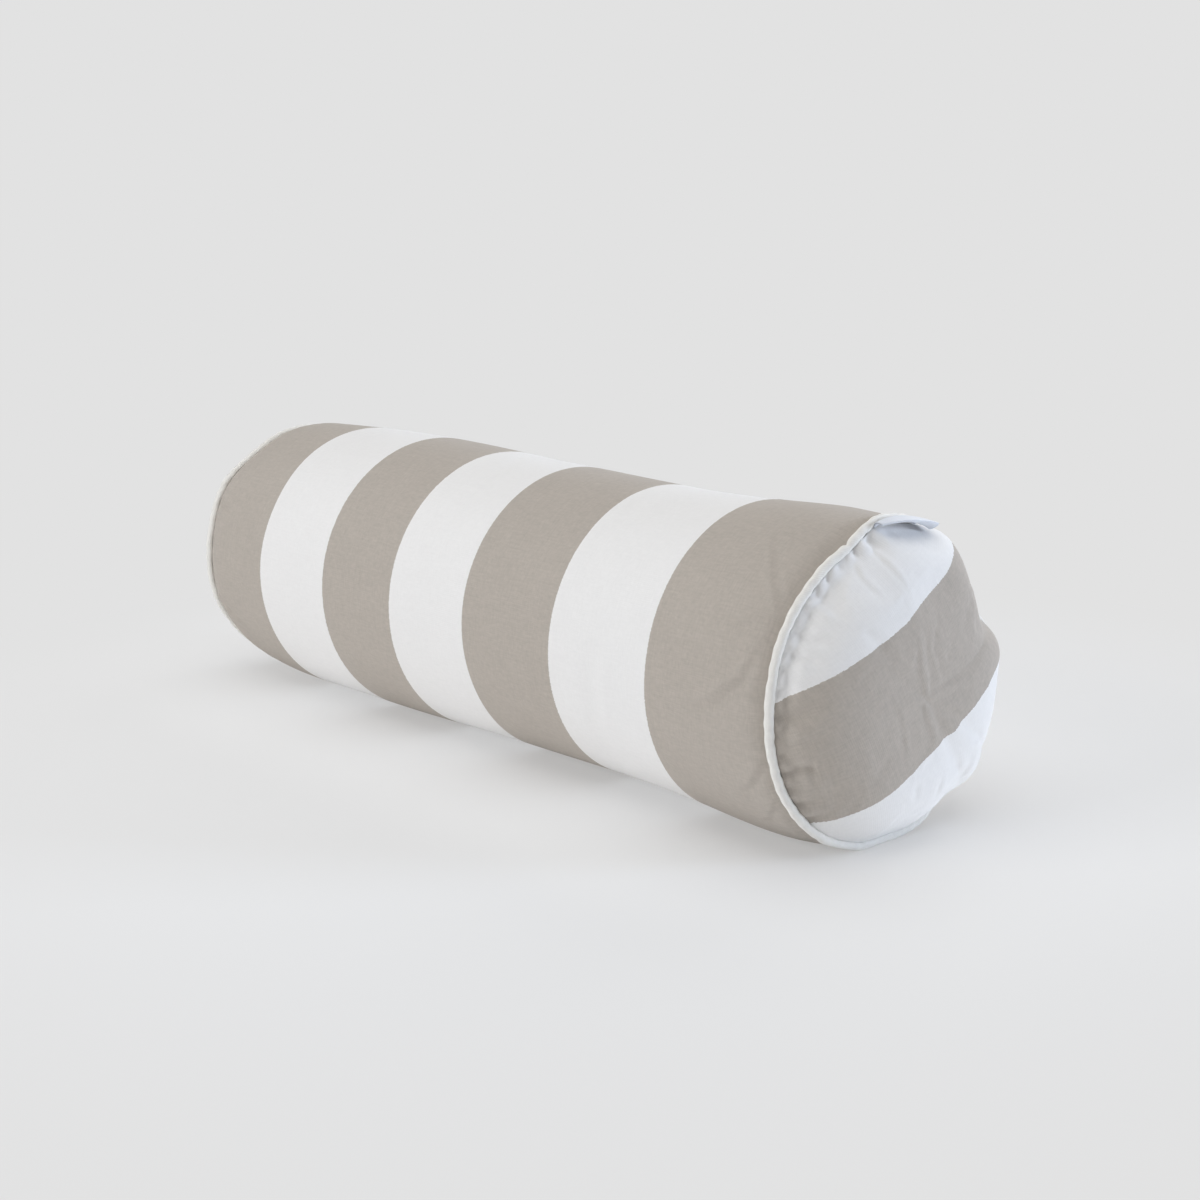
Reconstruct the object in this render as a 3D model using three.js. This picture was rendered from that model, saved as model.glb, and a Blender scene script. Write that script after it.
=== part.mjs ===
// Outdoor bolster pillow, lying on its side. Millimetres, +Z up.
// The roll's axis runs along X, with the labelled end at +X. The origin is on the floor under the middle.
// A filled solid carries two thin round end panels, two rings of cord piping and one small folded label.

import * as THREE from "three";

// Driving sizes
const AXIS_HEIGHT = 96.5;
const FLAT_HALF_WIDTH = 14;
const SIDES = 48;
const GAP = 0.35;
const PANEL_GAP = 0.6;
const PANEL_THICKNESS = 1.2;
const PIPING_RADIUS = 2.8;
const PIPING_SIDES = 8;
const PIPING_LIFT = 0.25;
const SEAM_FADE = 70;

// Where the seam sits, measured from the middle of the piping: outwards along X, and in from its radius.
const PIPING_CLEARANCE = PIPING_RADIUS + GAP;
const PANEL_START = { out: 0.6, inset: PIPING_CLEARANCE };
const NOTCH_ANGLES = [235, 205];
const WRAP_END_INSET = 0.3;

// The shares of a crown's radius at which it has a ring.
const CROWN_RINGS = [1, 0.96, 0.9, 0.81, 0.69, 0.52, 0.26];

// Radius of the filled wrap along the roll: fat in the far third, a waist, and fat again near the label.
const WRAP_PROFILE = [
  { x: -294, radius: 95.8 },
  { x: -286, radius: 98.6 },
  { x: -270, radius: 100.2 },
  { x: -240, radius: 101.4 },
  { x: -200, radius: 102.8 },
  { x: -160, radius: 103.2 },
  { x: -110, radius: 102.9 },
  { x: -60, radius: 101.6 },
  { x: -10, radius: 99.8 },
  { x: 40, radius: 99.0 },
  { x: 90, radius: 98.0 },
  { x: 140, radius: 97.3 },
  { x: 180, radius: 97.9 },
  { x: 210, radius: 99.2 },
  { x: 240, radius: 100.8 },
  { x: 266, radius: 101.6 },
  { x: 284, radius: 101.0 },
  { x: 296, radius: 99.2 },
];

// The two seams: the middle of the piping, by angle round the roll from +Y towards +Z.
const NEAR_SEAM = [
  { angle: 0, x: 311.5, radius: 97.8 },
  { angle: 9, x: 310, radius: 97.6 },
  { angle: 20, x: 304, radius: 93.8 },
  { angle: 44, x: 298.5, radius: 96.4 },
  { angle: 62, x: 298, radius: 99.2 },
  { angle: 78, x: 300, radius: 99.8 },
  { angle: 92, x: 304, radius: 100.4 },
  { angle: 104, x: 308, radius: 98.6 },
  { angle: 109, x: 308.5, radius: 96.6 },
  { angle: 126, x: 308, radius: 96.0 },
  { angle: 150, x: 306, radius: 95.7 },
  { angle: 180, x: 306.5, radius: 95.7 },
  { angle: 210, x: 307, radius: 95.8 },
  { angle: 240, x: 309, radius: 95.6 },
  { angle: 270, x: 310, radius: 94.8 },
  { angle: 292, x: 310.5, radius: 95.4 },
  { angle: 306, x: 308.5, radius: 96.6 },
  { angle: 317, x: 312, radius: 101.4 },
  { angle: 328, x: 312.5, radius: 99.4 },
  { angle: 342, x: 313.5, radius: 98.4 },
];
const FAR_SEAM = [
  { angle: 0, x: -305, radius: 94.0 },
  { angle: 40, x: -303, radius: 94.4 },
  { angle: 80, x: -304, radius: 94.0 },
  { angle: 104, x: -303, radius: 93.8 },
  { angle: 123, x: -299.5, radius: 93.6 },
  { angle: 143, x: -305, radius: 94.4 },
  { angle: 170, x: -303, radius: 94.2 },
  { angle: 205, x: -305, radius: 94.4 },
  { angle: 235, x: -303, radius: 94.0 },
  { angle: 270, x: -304, radius: 94.2 },
  { angle: 310, x: -306, radius: 94.4 },
  { angle: 335, x: -303, radius: 94.0 },
];

// Shallow dents in the wrap: where the deepest place is, its depth, and how far it spreads.
// A negative depth is a place where the filling pushes the wrap out.
const WRAP_DENTS = [
  { x: -228, angle: 150, depth: 1.6, alongX: 26, alongAngle: 20 },
  { x: 30, angle: 205, depth: 1.4, alongX: 30, alongAngle: 26 },
  { x: 246, angle: 168, depth: 1.5, alongX: 34, alongAngle: 15 },
  { x: 120, angle: 40, depth: 1.8, alongX: 60, alongAngle: 22 },
  { x: -90, angle: 350, depth: 1.7, alongX: 46, alongAngle: 24 },
  { x: -245, angle: 238, depth: -2.8, alongX: 48, alongAngle: 30 },
  { x: 284, angle: 86, depth: 1.6, alongX: 20, alongAngle: 22 },
];

// Troughs in the near crown, just inside the piping: angle, share of the radius, depth and spread.
// A negative depth is a rise, and a high power holds them all back at the seam itself.
const SEAM_HOLD = 8;
const CROWN_DENTS = [
  { angle: 104, share: 0.86, depth: 3.0, alongAngle: 18, alongShare: 0.1 },
  { angle: 145, share: 0.9, depth: 2.2, alongAngle: 26, alongShare: 0.08 },
  { angle: 222, share: 0.84, depth: 1.8, alongAngle: 18, alongShare: 0.12 },
  { angle: 300, share: 0.86, depth: 1.6, alongAngle: 16, alongShare: 0.12 },
  { angle: 62, share: 0.84, depth: -7.0, alongAngle: 26, alongShare: 0.2 },
  { angle: 5, share: 0.88, depth: -2.0, alongAngle: 10, alongShare: 0.12 },
  { angle: 19, share: 0.9, depth: 2.4, alongAngle: 6, alongShare: 0.1 },
];

// Places where the filling swells a crown's side outwards, away from the roll's axis.
// The swell grows with one power of the share of the radius, and another holds it back at the seam.
const SWELL_RISE = 4;
const SWELL_HOLD = 24;
const NEAR_SWELLS = [
  { angle: 60, size: 13, alongAngle: 14 },
  { angle: 38, size: 4, alongAngle: 12 },
  { angle: 12, size: 8, alongAngle: 8 },
  { angle: 314, size: 7, alongAngle: 16 },
];
const FAR_SWELLS = [
  { angle: 40, size: 4, alongAngle: 60 },
  { angle: 200, size: 4, alongAngle: 60 },
];

// The crown of each end: its height, how full it is, its troughs and its swells.
const NEAR_CROWN = { height: 32.5, fullness: 4.6, dents: CROWN_DENTS, swells: NEAR_SWELLS };
const FAR_CROWN = { height: 34, fullness: 4.6, dents: [], swells: FAR_SWELLS };

// The label: a strip folded along its middle and sewn lengthwise into the top of the near seam.
const LABEL = {
  halfWidth: 23,
  stations: 9,
  thickness: 1.0,
  layerGap: 0.5,
  middleAngle: 85,
};
// The way of the label's upper layer, from the seam to its fold, measured from the middle of the piping.
const LABEL_WAY = [
  { out: 3.2, up: 0.2 },
  { out: 6.5, up: 1.6 },
  { out: 11, up: 2.0 },
  { out: 15.5, up: 1.5 },
  { out: 19, up: 0.8 },
];

const CLOTH = {
  stripe: { color: "#aaa298", roughness: 0.92, metalness: 0 },
  ends: { color: "#e2e5e8", roughness: 0.92, metalness: 0 },
  cord: { color: "#ebe8e2", roughness: 0.88, metalness: 0 },
  tape: { color: "#eceff4", roughness: 0.7, metalness: 0 },
};

const degrees = THREE.MathUtils.degToRad;

// A smooth curve through the rows of a table. A table by angle repeats every turn.
function curveThrough(rows, keyName, valueName, period = 0) {
  const turns = period ? [-period, 0, period] : [0];
  const keys = turns.flatMap((turn) => rows.map((row) => row[keyName] + turn));
  const values = turns.flatMap(() => rows.map((row) => row[valueName]));
  const curve = new THREE.CubicInterpolant(keys, values, 1);
  return (key) => curve.evaluate(THREE.MathUtils.clamp(key, keys[0], keys[keys.length - 1]))[0];
}

const wrapRadius = curveThrough(WRAP_PROFILE, "x", "radius");

function angleBetween(first, second) {
  return THREE.MathUtils.euclideanModulo(first - second + 180, 360) - 180;
}

function bump(distance, spread) {
  return Math.exp(-((distance / spread) ** 2));
}

// A seam gives the middle of its piping at any angle. The floor presses the lowest stretch up.
function makeSeam(rows) {
  const across = curveThrough(rows, "angle", "x", 360);
  const radius = curveThrough(rows, "angle", "radius", 360);
  const meanX = rows.reduce((sum, row) => sum + row.x, 0) / rows.length;
  const meanRadius = rows.reduce((sum, row) => sum + row.radius, 0) / rows.length;
  const lowest = PIPING_RADIUS + PIPING_LIFT;
  const at = (angle) => {
    const turn = degrees(angle);
    const y = radius(angle) * Math.cos(turn);
    const z = Math.max(AXIS_HEIGHT + radius(angle) * Math.sin(turn), lowest);
    return new THREE.Vector3(across(angle), y, z);
  };
  return { at, across, radius, meanX, meanRadius };
}

const nearSeam = makeSeam(NEAR_SEAM);
const farSeam = makeSeam(FAR_SEAM);

const ANGLES = Array.from({ length: SIDES }, (_, side) => (360 * side) / SIDES);

// A point beside the piping: out along the roll's end, and up away from the roll's axis.
function besideSeam(seam, endSign, angle, out, up) {
  const middle = seam.at(angle);
  const away = new THREE.Vector3(0, middle.y, middle.z - AXIS_HEIGHT).normalize();
  return middle.addScaledVector(away, up).add(new THREE.Vector3(endSign * out, 0, 0));
}

// A point of the wrap. Near each seam it follows that seam's own waves and radius.
function wrapPoint(x, angle) {
  const seam = x > 0 ? nearSeam : farSeam;
  const follow = Math.max(0, 1 - Math.abs(seam.meanX - x) / SEAM_FADE) ** 2;
  let radius = wrapRadius(x) + follow * (seam.radius(angle) - seam.meanRadius);
  for (const dent of WRAP_DENTS) {
    const turn = angleBetween(angle, dent.angle);
    radius -= dent.depth * bump(x - dent.x, dent.alongX) * bump(turn, dent.alongAngle);
  }
  const y = radius * Math.cos(degrees(angle));
  const z = AXIS_HEIGHT + radius * Math.sin(degrees(angle));
  const underneath = z < AXIS_HEIGHT && Math.abs(y) < FLAT_HALF_WIDTH;
  const along = x + follow * (seam.across(angle) - seam.meanX);
  return new THREE.Vector3(along, y, underneath ? 0 : Math.max(z, 0));
}

// A point of an end's crown, set in from its outer face by a depth along the face's slope.
function crownPoint(seam, endSign, crown, share, angle, depth) {
  const start = besideSeam(seam, endSign, angle, PANEL_START.out, -PANEL_START.inset);
  const rim = Math.hypot(start.y, start.z - AXIS_HEIGHT);
  const slope = (crown.height * crown.fullness * share ** (crown.fullness - 1)) / rim;
  const normal = new THREE.Vector2(1, slope).normalize();
  const follow = share ** 2;
  let out = endSign * (seam.meanX * (1 - follow) + seam.across(angle) * follow) + PANEL_START.out;
  out += crown.height * (1 - share ** crown.fullness) - depth * normal.x;
  for (const dent of crown.dents) {
    const turn = angleBetween(angle, dent.angle);
    const held = 1 - share ** SEAM_HOLD;
    out -= dent.depth * held * bump(turn, dent.alongAngle) * bump(share - dent.share, dent.alongShare);
  }
  const swell = crown.swells.reduce((sum, { angle: middle, size, alongAngle }) => {
    return sum + size * bump(angleBetween(angle, middle), alongAngle);
  }, 0);
  const wall = share ** SWELL_RISE * (1 - share ** SWELL_HOLD);
  const inward = (rim * share + swell * wall - depth * normal.y) / rim;
  return new THREE.Vector3(endSign * out, start.y * inward, AXIS_HEIGHT + (start.z - AXIS_HEIGHT) * inward);
}

function crownPole(seam, endSign, crown, depth) {
  const out = endSign * seam.meanX + PANEL_START.out + crown.height - depth;
  return new THREE.Vector3(endSign * out, 0, AXIS_HEIGHT);
}

const ringAt = (makePoint) => ANGLES.map(makePoint);

function crownRings(seam, endSign, crown, depth) {
  return CROWN_RINGS.map((share) => ringAt((angle) => crownPoint(seam, endSign, crown, share, angle, depth)));
}

// A closed mesh with every face turned outwards.
function closedGeometry(points, triangles) {
  let volume = 0;
  for (const [a, b, c] of triangles) {
    volume += points[a].dot(points[b].clone().cross(points[c]));
  }
  const order = volume > 0 ? triangles : triangles.map(([a, b, c]) => [a, c, b]);
  const geometry = new THREE.BufferGeometry();
  geometry.setAttribute("position", new THREE.Float32BufferAttribute(points.flatMap((p) => p.toArray()), 3));
  geometry.setIndex(order.flat());
  geometry.computeVertexNormals();
  return geometry;
}

// Bands of quads between neighbouring rings, all of one size.
function bandTriangles(rings, wraps) {
  const size = rings[0].length;
  const bands = wraps ? rings.length : rings.length - 1;
  const triangles = [];
  for (let band = 0; band < bands; band += 1) {
    const next = (band + 1) % rings.length;
    for (let side = 0; side < size; side += 1) {
      const beside = (side + 1) % size;
      const corners = [band * size + side, band * size + beside, next * size + beside, next * size + side];
      triangles.push([corners[0], corners[1], corners[2]], [corners[0], corners[2], corners[3]]);
    }
  }
  return triangles;
}

// A solid from one pole to the other over a row of rings.
function ballGeometry(firstPole, rings, lastPole) {
  const size = rings[0].length;
  const points = [...rings.flat(), firstPole, lastPole];
  const triangles = bandTriangles(rings, false);
  const lastRing = (rings.length - 1) * size;
  for (let side = 0; side < size; side += 1) {
    const beside = (side + 1) % size;
    triangles.push([points.length - 2, beside, side]);
    triangles.push([points.length - 1, lastRing + side, lastRing + beside]);
  }
  return closedGeometry(points, triangles);
}

// The ring of the filled solid that lies in the notch under the piping, at one angle of the notch.
function notchRing(seam, endSign, notchAngle) {
  const out = PIPING_CLEARANCE * Math.cos(degrees(notchAngle));
  const up = PIPING_CLEARANCE * Math.sin(degrees(notchAngle));
  return ringAt((angle) => besideSeam(seam, endSign, angle, out, up));
}

function wrapEndRing(seam, endSign) {
  return ringAt((angle) => besideSeam(seam, endSign, angle, -PIPING_CLEARANCE, -WRAP_END_INSET));
}

function filledGeometry() {
  const depth = PANEL_THICKNESS + PANEL_GAP;
  const far = [
    ...crownRings(farSeam, -1, FAR_CROWN, depth).reverse(),
    ...NOTCH_ANGLES.map((angle) => notchRing(farSeam, -1, angle)),
    wrapEndRing(farSeam, -1),
  ];
  const near = [
    wrapEndRing(nearSeam, 1),
    ...NOTCH_ANGLES.map((angle) => notchRing(nearSeam, 1, angle)).reverse(),
    ...crownRings(nearSeam, 1, NEAR_CROWN, depth),
  ];
  const wrap = WRAP_PROFILE.map((row) => ringAt((angle) => wrapPoint(row.x, angle)));
  const farPole = crownPole(farSeam, -1, FAR_CROWN, depth);
  const nearPole = crownPole(nearSeam, 1, NEAR_CROWN, depth);
  return ballGeometry(farPole, [...far, ...wrap, ...near], nearPole);
}

function panelGeometry(seam, endSign, crown) {
  const outer = crownRings(seam, endSign, crown, 0).reverse();
  const inner = crownRings(seam, endSign, crown, PANEL_THICKNESS);
  const outerPole = crownPole(seam, endSign, crown, 0);
  const innerPole = crownPole(seam, endSign, crown, PANEL_THICKNESS);
  return ballGeometry(outerPole, [...outer, ...inner], innerPole);
}

function pipingGeometry(seam, endSign) {
  const rings = ANGLES.map((angle) =>
    Array.from({ length: PIPING_SIDES }, (_, side) => {
      const turn = (2 * Math.PI * (side + 0.5)) / PIPING_SIDES;
      return besideSeam(seam, endSign, angle, PIPING_RADIUS * Math.cos(turn), PIPING_RADIUS * Math.sin(turn));
    }),
  );
  return closedGeometry(rings.flat(), bandTriangles(rings, true));
}

// The label's section, as pairs of an upper and a lower point: out along the way, round the fold, and back.
function labelSection() {
  const { thickness, layerGap } = LABEL;
  const steps = LABEL_WAY.map((row) => new THREE.Vector2(row.out, row.up));
  const downs = steps.map((_, index) => {
    const before = steps[Math.max(index - 1, 0)];
    const after = steps[Math.min(index + 1, steps.length - 1)];
    const along = after.clone().sub(before).normalize();
    return new THREE.Vector2(along.y, -along.x);
  });
  const layer = (near, far) => steps.map((step, index) => [
    step.clone().addScaledVector(downs[index], near),
    step.clone().addScaledVector(downs[index], far),
  ]);
  const upper = layer(0, thickness);
  const lower = layer(2 * thickness + layerGap, thickness + layerGap).reverse();
  const tip = steps[steps.length - 1];
  const down = downs[downs.length - 1];
  const along = new THREE.Vector2(-down.y, down.x);
  const middle = tip.clone().addScaledVector(down, thickness + layerGap / 2);
  const fold = [
    middle.clone().addScaledVector(along, thickness + layerGap / 2),
    middle.clone().addScaledVector(along, layerGap / 2),
  ];
  return [...upper, fold, ...lower];
}

function labelGeometry() {
  const section = labelSection();
  const outline = [...section.map((pair) => pair[0]), ...section.map((pair) => pair[1]).reverse()];
  const size = outline.length;
  const reach = (LABEL.halfWidth / nearSeam.radius(LABEL.middleAngle)) * THREE.MathUtils.RAD2DEG;
  const rings = Array.from({ length: LABEL.stations }, (_, station) => {
    const share = (2 * station) / (LABEL.stations - 1) - 1;
    const angle = LABEL.middleAngle + share * reach;
    return outline.map((point) => besideSeam(nearSeam, 1, angle, point.x, point.y));
  });
  const triangles = bandTriangles(rings, false);
  const lastRing = (rings.length - 1) * size;
  for (let pair = 0; pair + 1 < section.length; pair += 1) {
    const [a, b, c, d] = [pair, pair + 1, size - 2 - pair, size - 1 - pair];
    triangles.push([a, c, b], [a, d, c]);
    triangles.push([lastRing + a, lastRing + b, lastRing + c], [lastRing + a, lastRing + c, lastRing + d]);
  }
  return closedGeometry(rings.flat(), triangles);
}

function namedMesh(name, geometry, finish) {
  const mesh = new THREE.Mesh(geometry, new THREE.MeshStandardMaterial(finish));
  mesh.name = name;
  return mesh;
}

const bolster = new THREE.Group();
bolster.add(namedMesh("bolster", filledGeometry(), CLOTH.stripe));
bolster.add(namedMesh("end_panel_near", panelGeometry(nearSeam, 1, NEAR_CROWN), CLOTH.ends));
bolster.add(namedMesh("end_panel_far", panelGeometry(farSeam, -1, FAR_CROWN), CLOTH.ends));
bolster.add(namedMesh("piping_near", pipingGeometry(nearSeam, 1), CLOTH.cord));
bolster.add(namedMesh("piping_far", pipingGeometry(farSeam, -1), CLOTH.cord));
bolster.add(namedMesh("label", labelGeometry(), CLOTH.tape));

export default bolster;
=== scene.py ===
"""Outdoor bolster pillow: a striped canvas roll with crowned ends, cord piping and a small folded label.

Sizes are in millimetres in the part's own frame, and every mesh is made from them in metres. Angles are
in degrees round the roll, from +Y towards +Z. The labelled end is the near one, at +X.
"""

import logging
import math
from dataclasses import dataclass, field
from enum import Enum
from typing import Any

import bpy
import numpy as np
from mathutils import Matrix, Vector
from numpy.typing import NDArray


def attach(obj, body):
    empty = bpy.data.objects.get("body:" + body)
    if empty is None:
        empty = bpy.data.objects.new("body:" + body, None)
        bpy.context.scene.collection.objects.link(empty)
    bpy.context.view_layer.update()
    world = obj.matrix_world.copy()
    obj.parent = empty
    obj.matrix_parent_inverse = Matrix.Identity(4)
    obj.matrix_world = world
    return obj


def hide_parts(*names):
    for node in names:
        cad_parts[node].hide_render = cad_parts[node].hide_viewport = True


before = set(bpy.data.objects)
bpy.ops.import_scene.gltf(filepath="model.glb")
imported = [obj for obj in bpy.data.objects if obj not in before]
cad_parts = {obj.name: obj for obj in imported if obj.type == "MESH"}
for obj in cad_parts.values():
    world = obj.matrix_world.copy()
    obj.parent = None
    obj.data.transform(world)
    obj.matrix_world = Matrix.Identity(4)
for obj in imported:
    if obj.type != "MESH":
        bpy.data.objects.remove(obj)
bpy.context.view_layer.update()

Numbers = NDArray[np.float64]
Whole = NDArray[np.int64]
log = logging.getLogger("bolster")

MM = 0.001
# How high the roll's axis lies above the floor, and how far its flat underside reaches to each side.
AXIS_HEIGHT = 96.5
FLAT_HALF_WIDTH = 14.0
PIPING_RADIUS = 2.8
# The piping and the end panels stay this far off the floor.
PIPING_LIFT = 0.25
# The wrap follows a seam's waves up to this far from it.
SEAM_FADE = 70.0
# Angles round the wrap become lengths on the flat cloth at this radius.
MEAN_RADIUS = 100.0
CLOSING_SEAM_ANGLE = 318.0
CLOTH_LAYER = "cloth"


# --- Shared shape helpers -------------------------------------------------------------------------------


def smooth_curve(keys: Numbers, values: Numbers, at: Numbers) -> Numbers:
    """Reads the smooth curve that runs through a table's rows.

    Args:
        keys: Rising keys, one for each row.
        values: The rows, one value or more in each.
        at: Keys to read the curve at. Past the table's ends it keeps the end row.

    Returns:
        One row of values for each key asked for.
    """
    slopes = np.diff(values, axis=0) / np.diff(keys)[:, None]
    tangents = np.concatenate([slopes[:1], (slopes[1:] + slopes[:-1]) / 2, slopes[-1:]])
    at = np.clip(at, keys[0], keys[-1])
    row = np.clip(np.searchsorted(keys, at, side="right") - 1, 0, len(keys) - 2)
    width = (keys[row + 1] - keys[row])[:, None]
    t = (at - keys[row])[:, None] / width
    return (
        values[row] * (2 * t**3 - 3 * t**2 + 1)
        + values[row + 1] * (3 * t**2 - 2 * t**3)
        + tangents[row] * width * (t**3 - 2 * t**2 + t)
        + tangents[row + 1] * width * (t**3 - t**2)
    )


def bump(distance: Numbers, spread: float | Numbers) -> Numbers:
    """A smooth bump that is 1 at no distance and fades over its spread."""
    return np.exp(-((distance / spread) ** 2))


def turn_between(first: Numbers, second: float | Numbers) -> Numbers:
    """The turn from the second angle to the first, from -180 to 180 degrees."""
    return (first - second + 180) % 360 - 180


def grid_faces(rows: int, columns: int, closed: bool) -> Whole:
    """Makes the quads of a grid of points, row after row.

    Args:
        rows: How many rows of points.
        columns: How many points in a row.
        closed: Whether the last column joins the first.

    Returns:
        Four point numbers for each quad.
    """
    last = columns if closed else columns - 1
    row, column = np.meshgrid(np.arange(rows - 1), np.arange(last), indexing="ij")
    beside = (column + 1) % columns
    low, high = row * columns, (row + 1) * columns
    return np.stack([low + column, low + beside, high + beside, high + column], axis=-1).reshape(-1, 4)


def add_object(name: str, data: bpy.types.ID) -> bpy.types.Object:
    """Adds an object that shows the data to the scene.

    Args:
        name: The object's name.
        data: A mesh, lamp or camera.

    Returns:
        The new object, at the origin.
    """
    made = bpy.data.objects.new(name, data)
    bpy.context.scene.collection.objects.link(made)
    return made


def make_piece(name: str, points: Numbers, faces: list[Whole], cloth: list[Numbers]) -> bpy.types.Object:
    """Makes one smooth-shaded mesh object. Its points hold its place, and the object stays at the origin.

    Args:
        name: The piece's name.
        points: Points in millimetres.
        faces: Blocks of faces, each a table of point numbers. They turn outwards.
        cloth: For each block, the place on the flat cloth of every corner, in millimetres.

    Returns:
        The new object, in the scene.
    """
    mesh = bpy.data.meshes.new(name)
    mesh.from_pydata((points * MM).tolist(), [], [face for block in faces for face in block.tolist()])
    layer = mesh.uv_layers.new(name=CLOTH_LAYER)
    corners = np.concatenate([block.reshape(-1, 2) for block in cloth])
    layer.data.foreach_set("uv", (corners * MM).astype(np.float32).ravel())
    mesh.shade_smooth()
    mesh.update()
    return add_object(name, mesh)


def thicken_and_smooth(piece: bpy.types.Object, thickness: float, offset: float) -> None:
    """Gives a sheet of cloth its thickness and rounds it, the same in view and render.

    Args:
        piece: The sheet.
        thickness: Its thickness in millimetres.
        offset: The side that the thickness goes to: -1 is inwards, and 0 is half to each side.
    """
    wall = piece.modifiers.new("cloth_thickness", "SOLIDIFY")
    wall.thickness = thickness * MM
    wall.offset = offset
    rounded = piece.modifiers.new("smooth_cloth", "SUBSURF")
    rounded.levels = 1
    rounded.render_levels = 1


# --- The seams and the two forms of cloth ---------------------------------------------------------------


@dataclass
class Seam:
    """The line where one piping, one end panel and the wrap are sewn together.

    Each row gives an angle, and there the place along the roll and the distance from the roll's axis.
    """

    end_sign: int
    rows: tuple[tuple[float, float, float], ...]
    keys: Numbers = field(init=False)
    values: Numbers = field(init=False)
    mean_x: float = field(init=False)
    mean_radius: float = field(init=False)

    def __post_init__(self) -> None:
        """Repeats the table before and after its own turn, so that the curve closes on itself."""
        table = np.array(self.rows)
        self.keys = np.concatenate([table[:, 0] + turn for turn in (-360, 0, 360)])
        self.values = np.tile(table[:, 1:], (3, 1))
        self.mean_x, self.mean_radius = table[:, 1:].mean(axis=0)

    def middle(self, angles: Numbers) -> tuple[Numbers, Numbers]:
        """Reads where the middle of the piping runs.

        Args:
            angles: Angles round the roll.

        Returns:
            Its places along the roll, and its distances from the roll's axis.
        """
        read = smooth_curve(self.keys, self.values, np.ravel(angles) % 360)
        return read[:, 0].reshape(np.shape(angles)), read[:, 1].reshape(np.shape(angles))

    def beside(self, angles: Numbers, out: float | Numbers, up: float | Numbers) -> Numbers:
        """Finds points beside the middle of the piping. The floor presses the lowest stretch up.

        Args:
            angles: Angles round the roll.
            out: How far outwards along the roll.
            up: How far away from the roll's axis.

        Returns:
            The points.
        """
        x, radius = self.middle(angles)
        y = radius * np.cos(np.radians(angles))
        z = np.maximum(AXIS_HEIGHT + radius * np.sin(np.radians(angles)), PIPING_RADIUS + PIPING_LIFT)
        reach = np.hypot(y, z - AXIS_HEIGHT)
        stretch = (reach + up) / reach
        height = AXIS_HEIGHT + (z - AXIS_HEIGHT) * stretch
        return np.stack([x + self.end_sign * out, y * stretch, height], axis=-1)


class Shape(Enum):
    """How a crease moves the cloth on its two sides."""

    TROUGH = "sinks along its line"
    RIDGE = "stands up along its line"
    DRAG = "stands up on its left and sinks on its right"


class Ends(Enum):
    """How a crease ends."""

    FADE = "both ends fade out"
    SEWN = "the first end is held by the seam, and only the last fades"


@dataclass(frozen=True)
class Crease:
    """One crease, drawn as a short line on the flat cloth in millimetres.

    A trough has a low bank on each side, and a ridge has a shallow dip. Their depth is a share of the
    crease's, and their distance is in widths of the crease.
    """

    way: tuple[tuple[float, float], ...]
    width: float
    depth: float
    shape: Shape = Shape.TROUGH
    ends: Ends = Ends.FADE
    fade_share: float = 0.3
    least_strength: float = 0.12
    bank_depth: float = 0.35
    bank_distance: float = 2.1
    drag_gain: float = 1.2

    def depth_at(self, cloth: Numbers) -> Numbers:
        """Works out how deep this crease is at points of the cloth.

        Args:
            cloth: Places on the flat cloth.

        Returns:
            One depth for each place, positive where the cloth sinks.
        """
        ways = np.array(self.way)
        steps = np.diff(ways, axis=0)
        lengths = np.linalg.norm(steps, axis=1)
        before = np.concatenate([[0], np.cumsum(lengths)])
        nearest = np.full(len(cloth), np.inf)
        along = np.zeros(len(cloth))
        side = np.zeros(len(cloth))
        for start, step, length, passed in zip(ways, steps, lengths, before):
            offset = cloth - start
            share = np.clip(offset @ step / length**2, 0, 1)
            away = offset - share[:, None] * step
            distance = np.linalg.norm(away, axis=1)
            closer = distance < nearest
            nearest = np.where(closer, distance, nearest)
            along = np.where(closer, (passed + share * length) / before[-1], along)
            side = np.where(closer, step[0] * offset[:, 1] - step[1] * offset[:, 0], side)
        if self.ends is Ends.SEWN:
            strength = (1 - along) ** 0.8
            width = self.width * (1 + 0.8 * along)
        else:
            faded = np.minimum(along, 1 - along) / self.fade_share
            strength = np.clip(faded, self.least_strength, 1) ** 0.7
            width = self.width * (0.75 + 0.25 * strength)
        across = nearest / width
        if self.shape is Shape.DRAG:
            sideways = -self.depth * strength * np.sign(side)
            return sideways * across * np.exp(0.5 - across**2) * self.drag_gain
        sink = bump(across, 1.0) - self.bank_depth * bump(across - self.bank_distance, 1.0)
        return self.depth * strength * (sink if self.shape is Shape.TROUGH else -sink)


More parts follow.
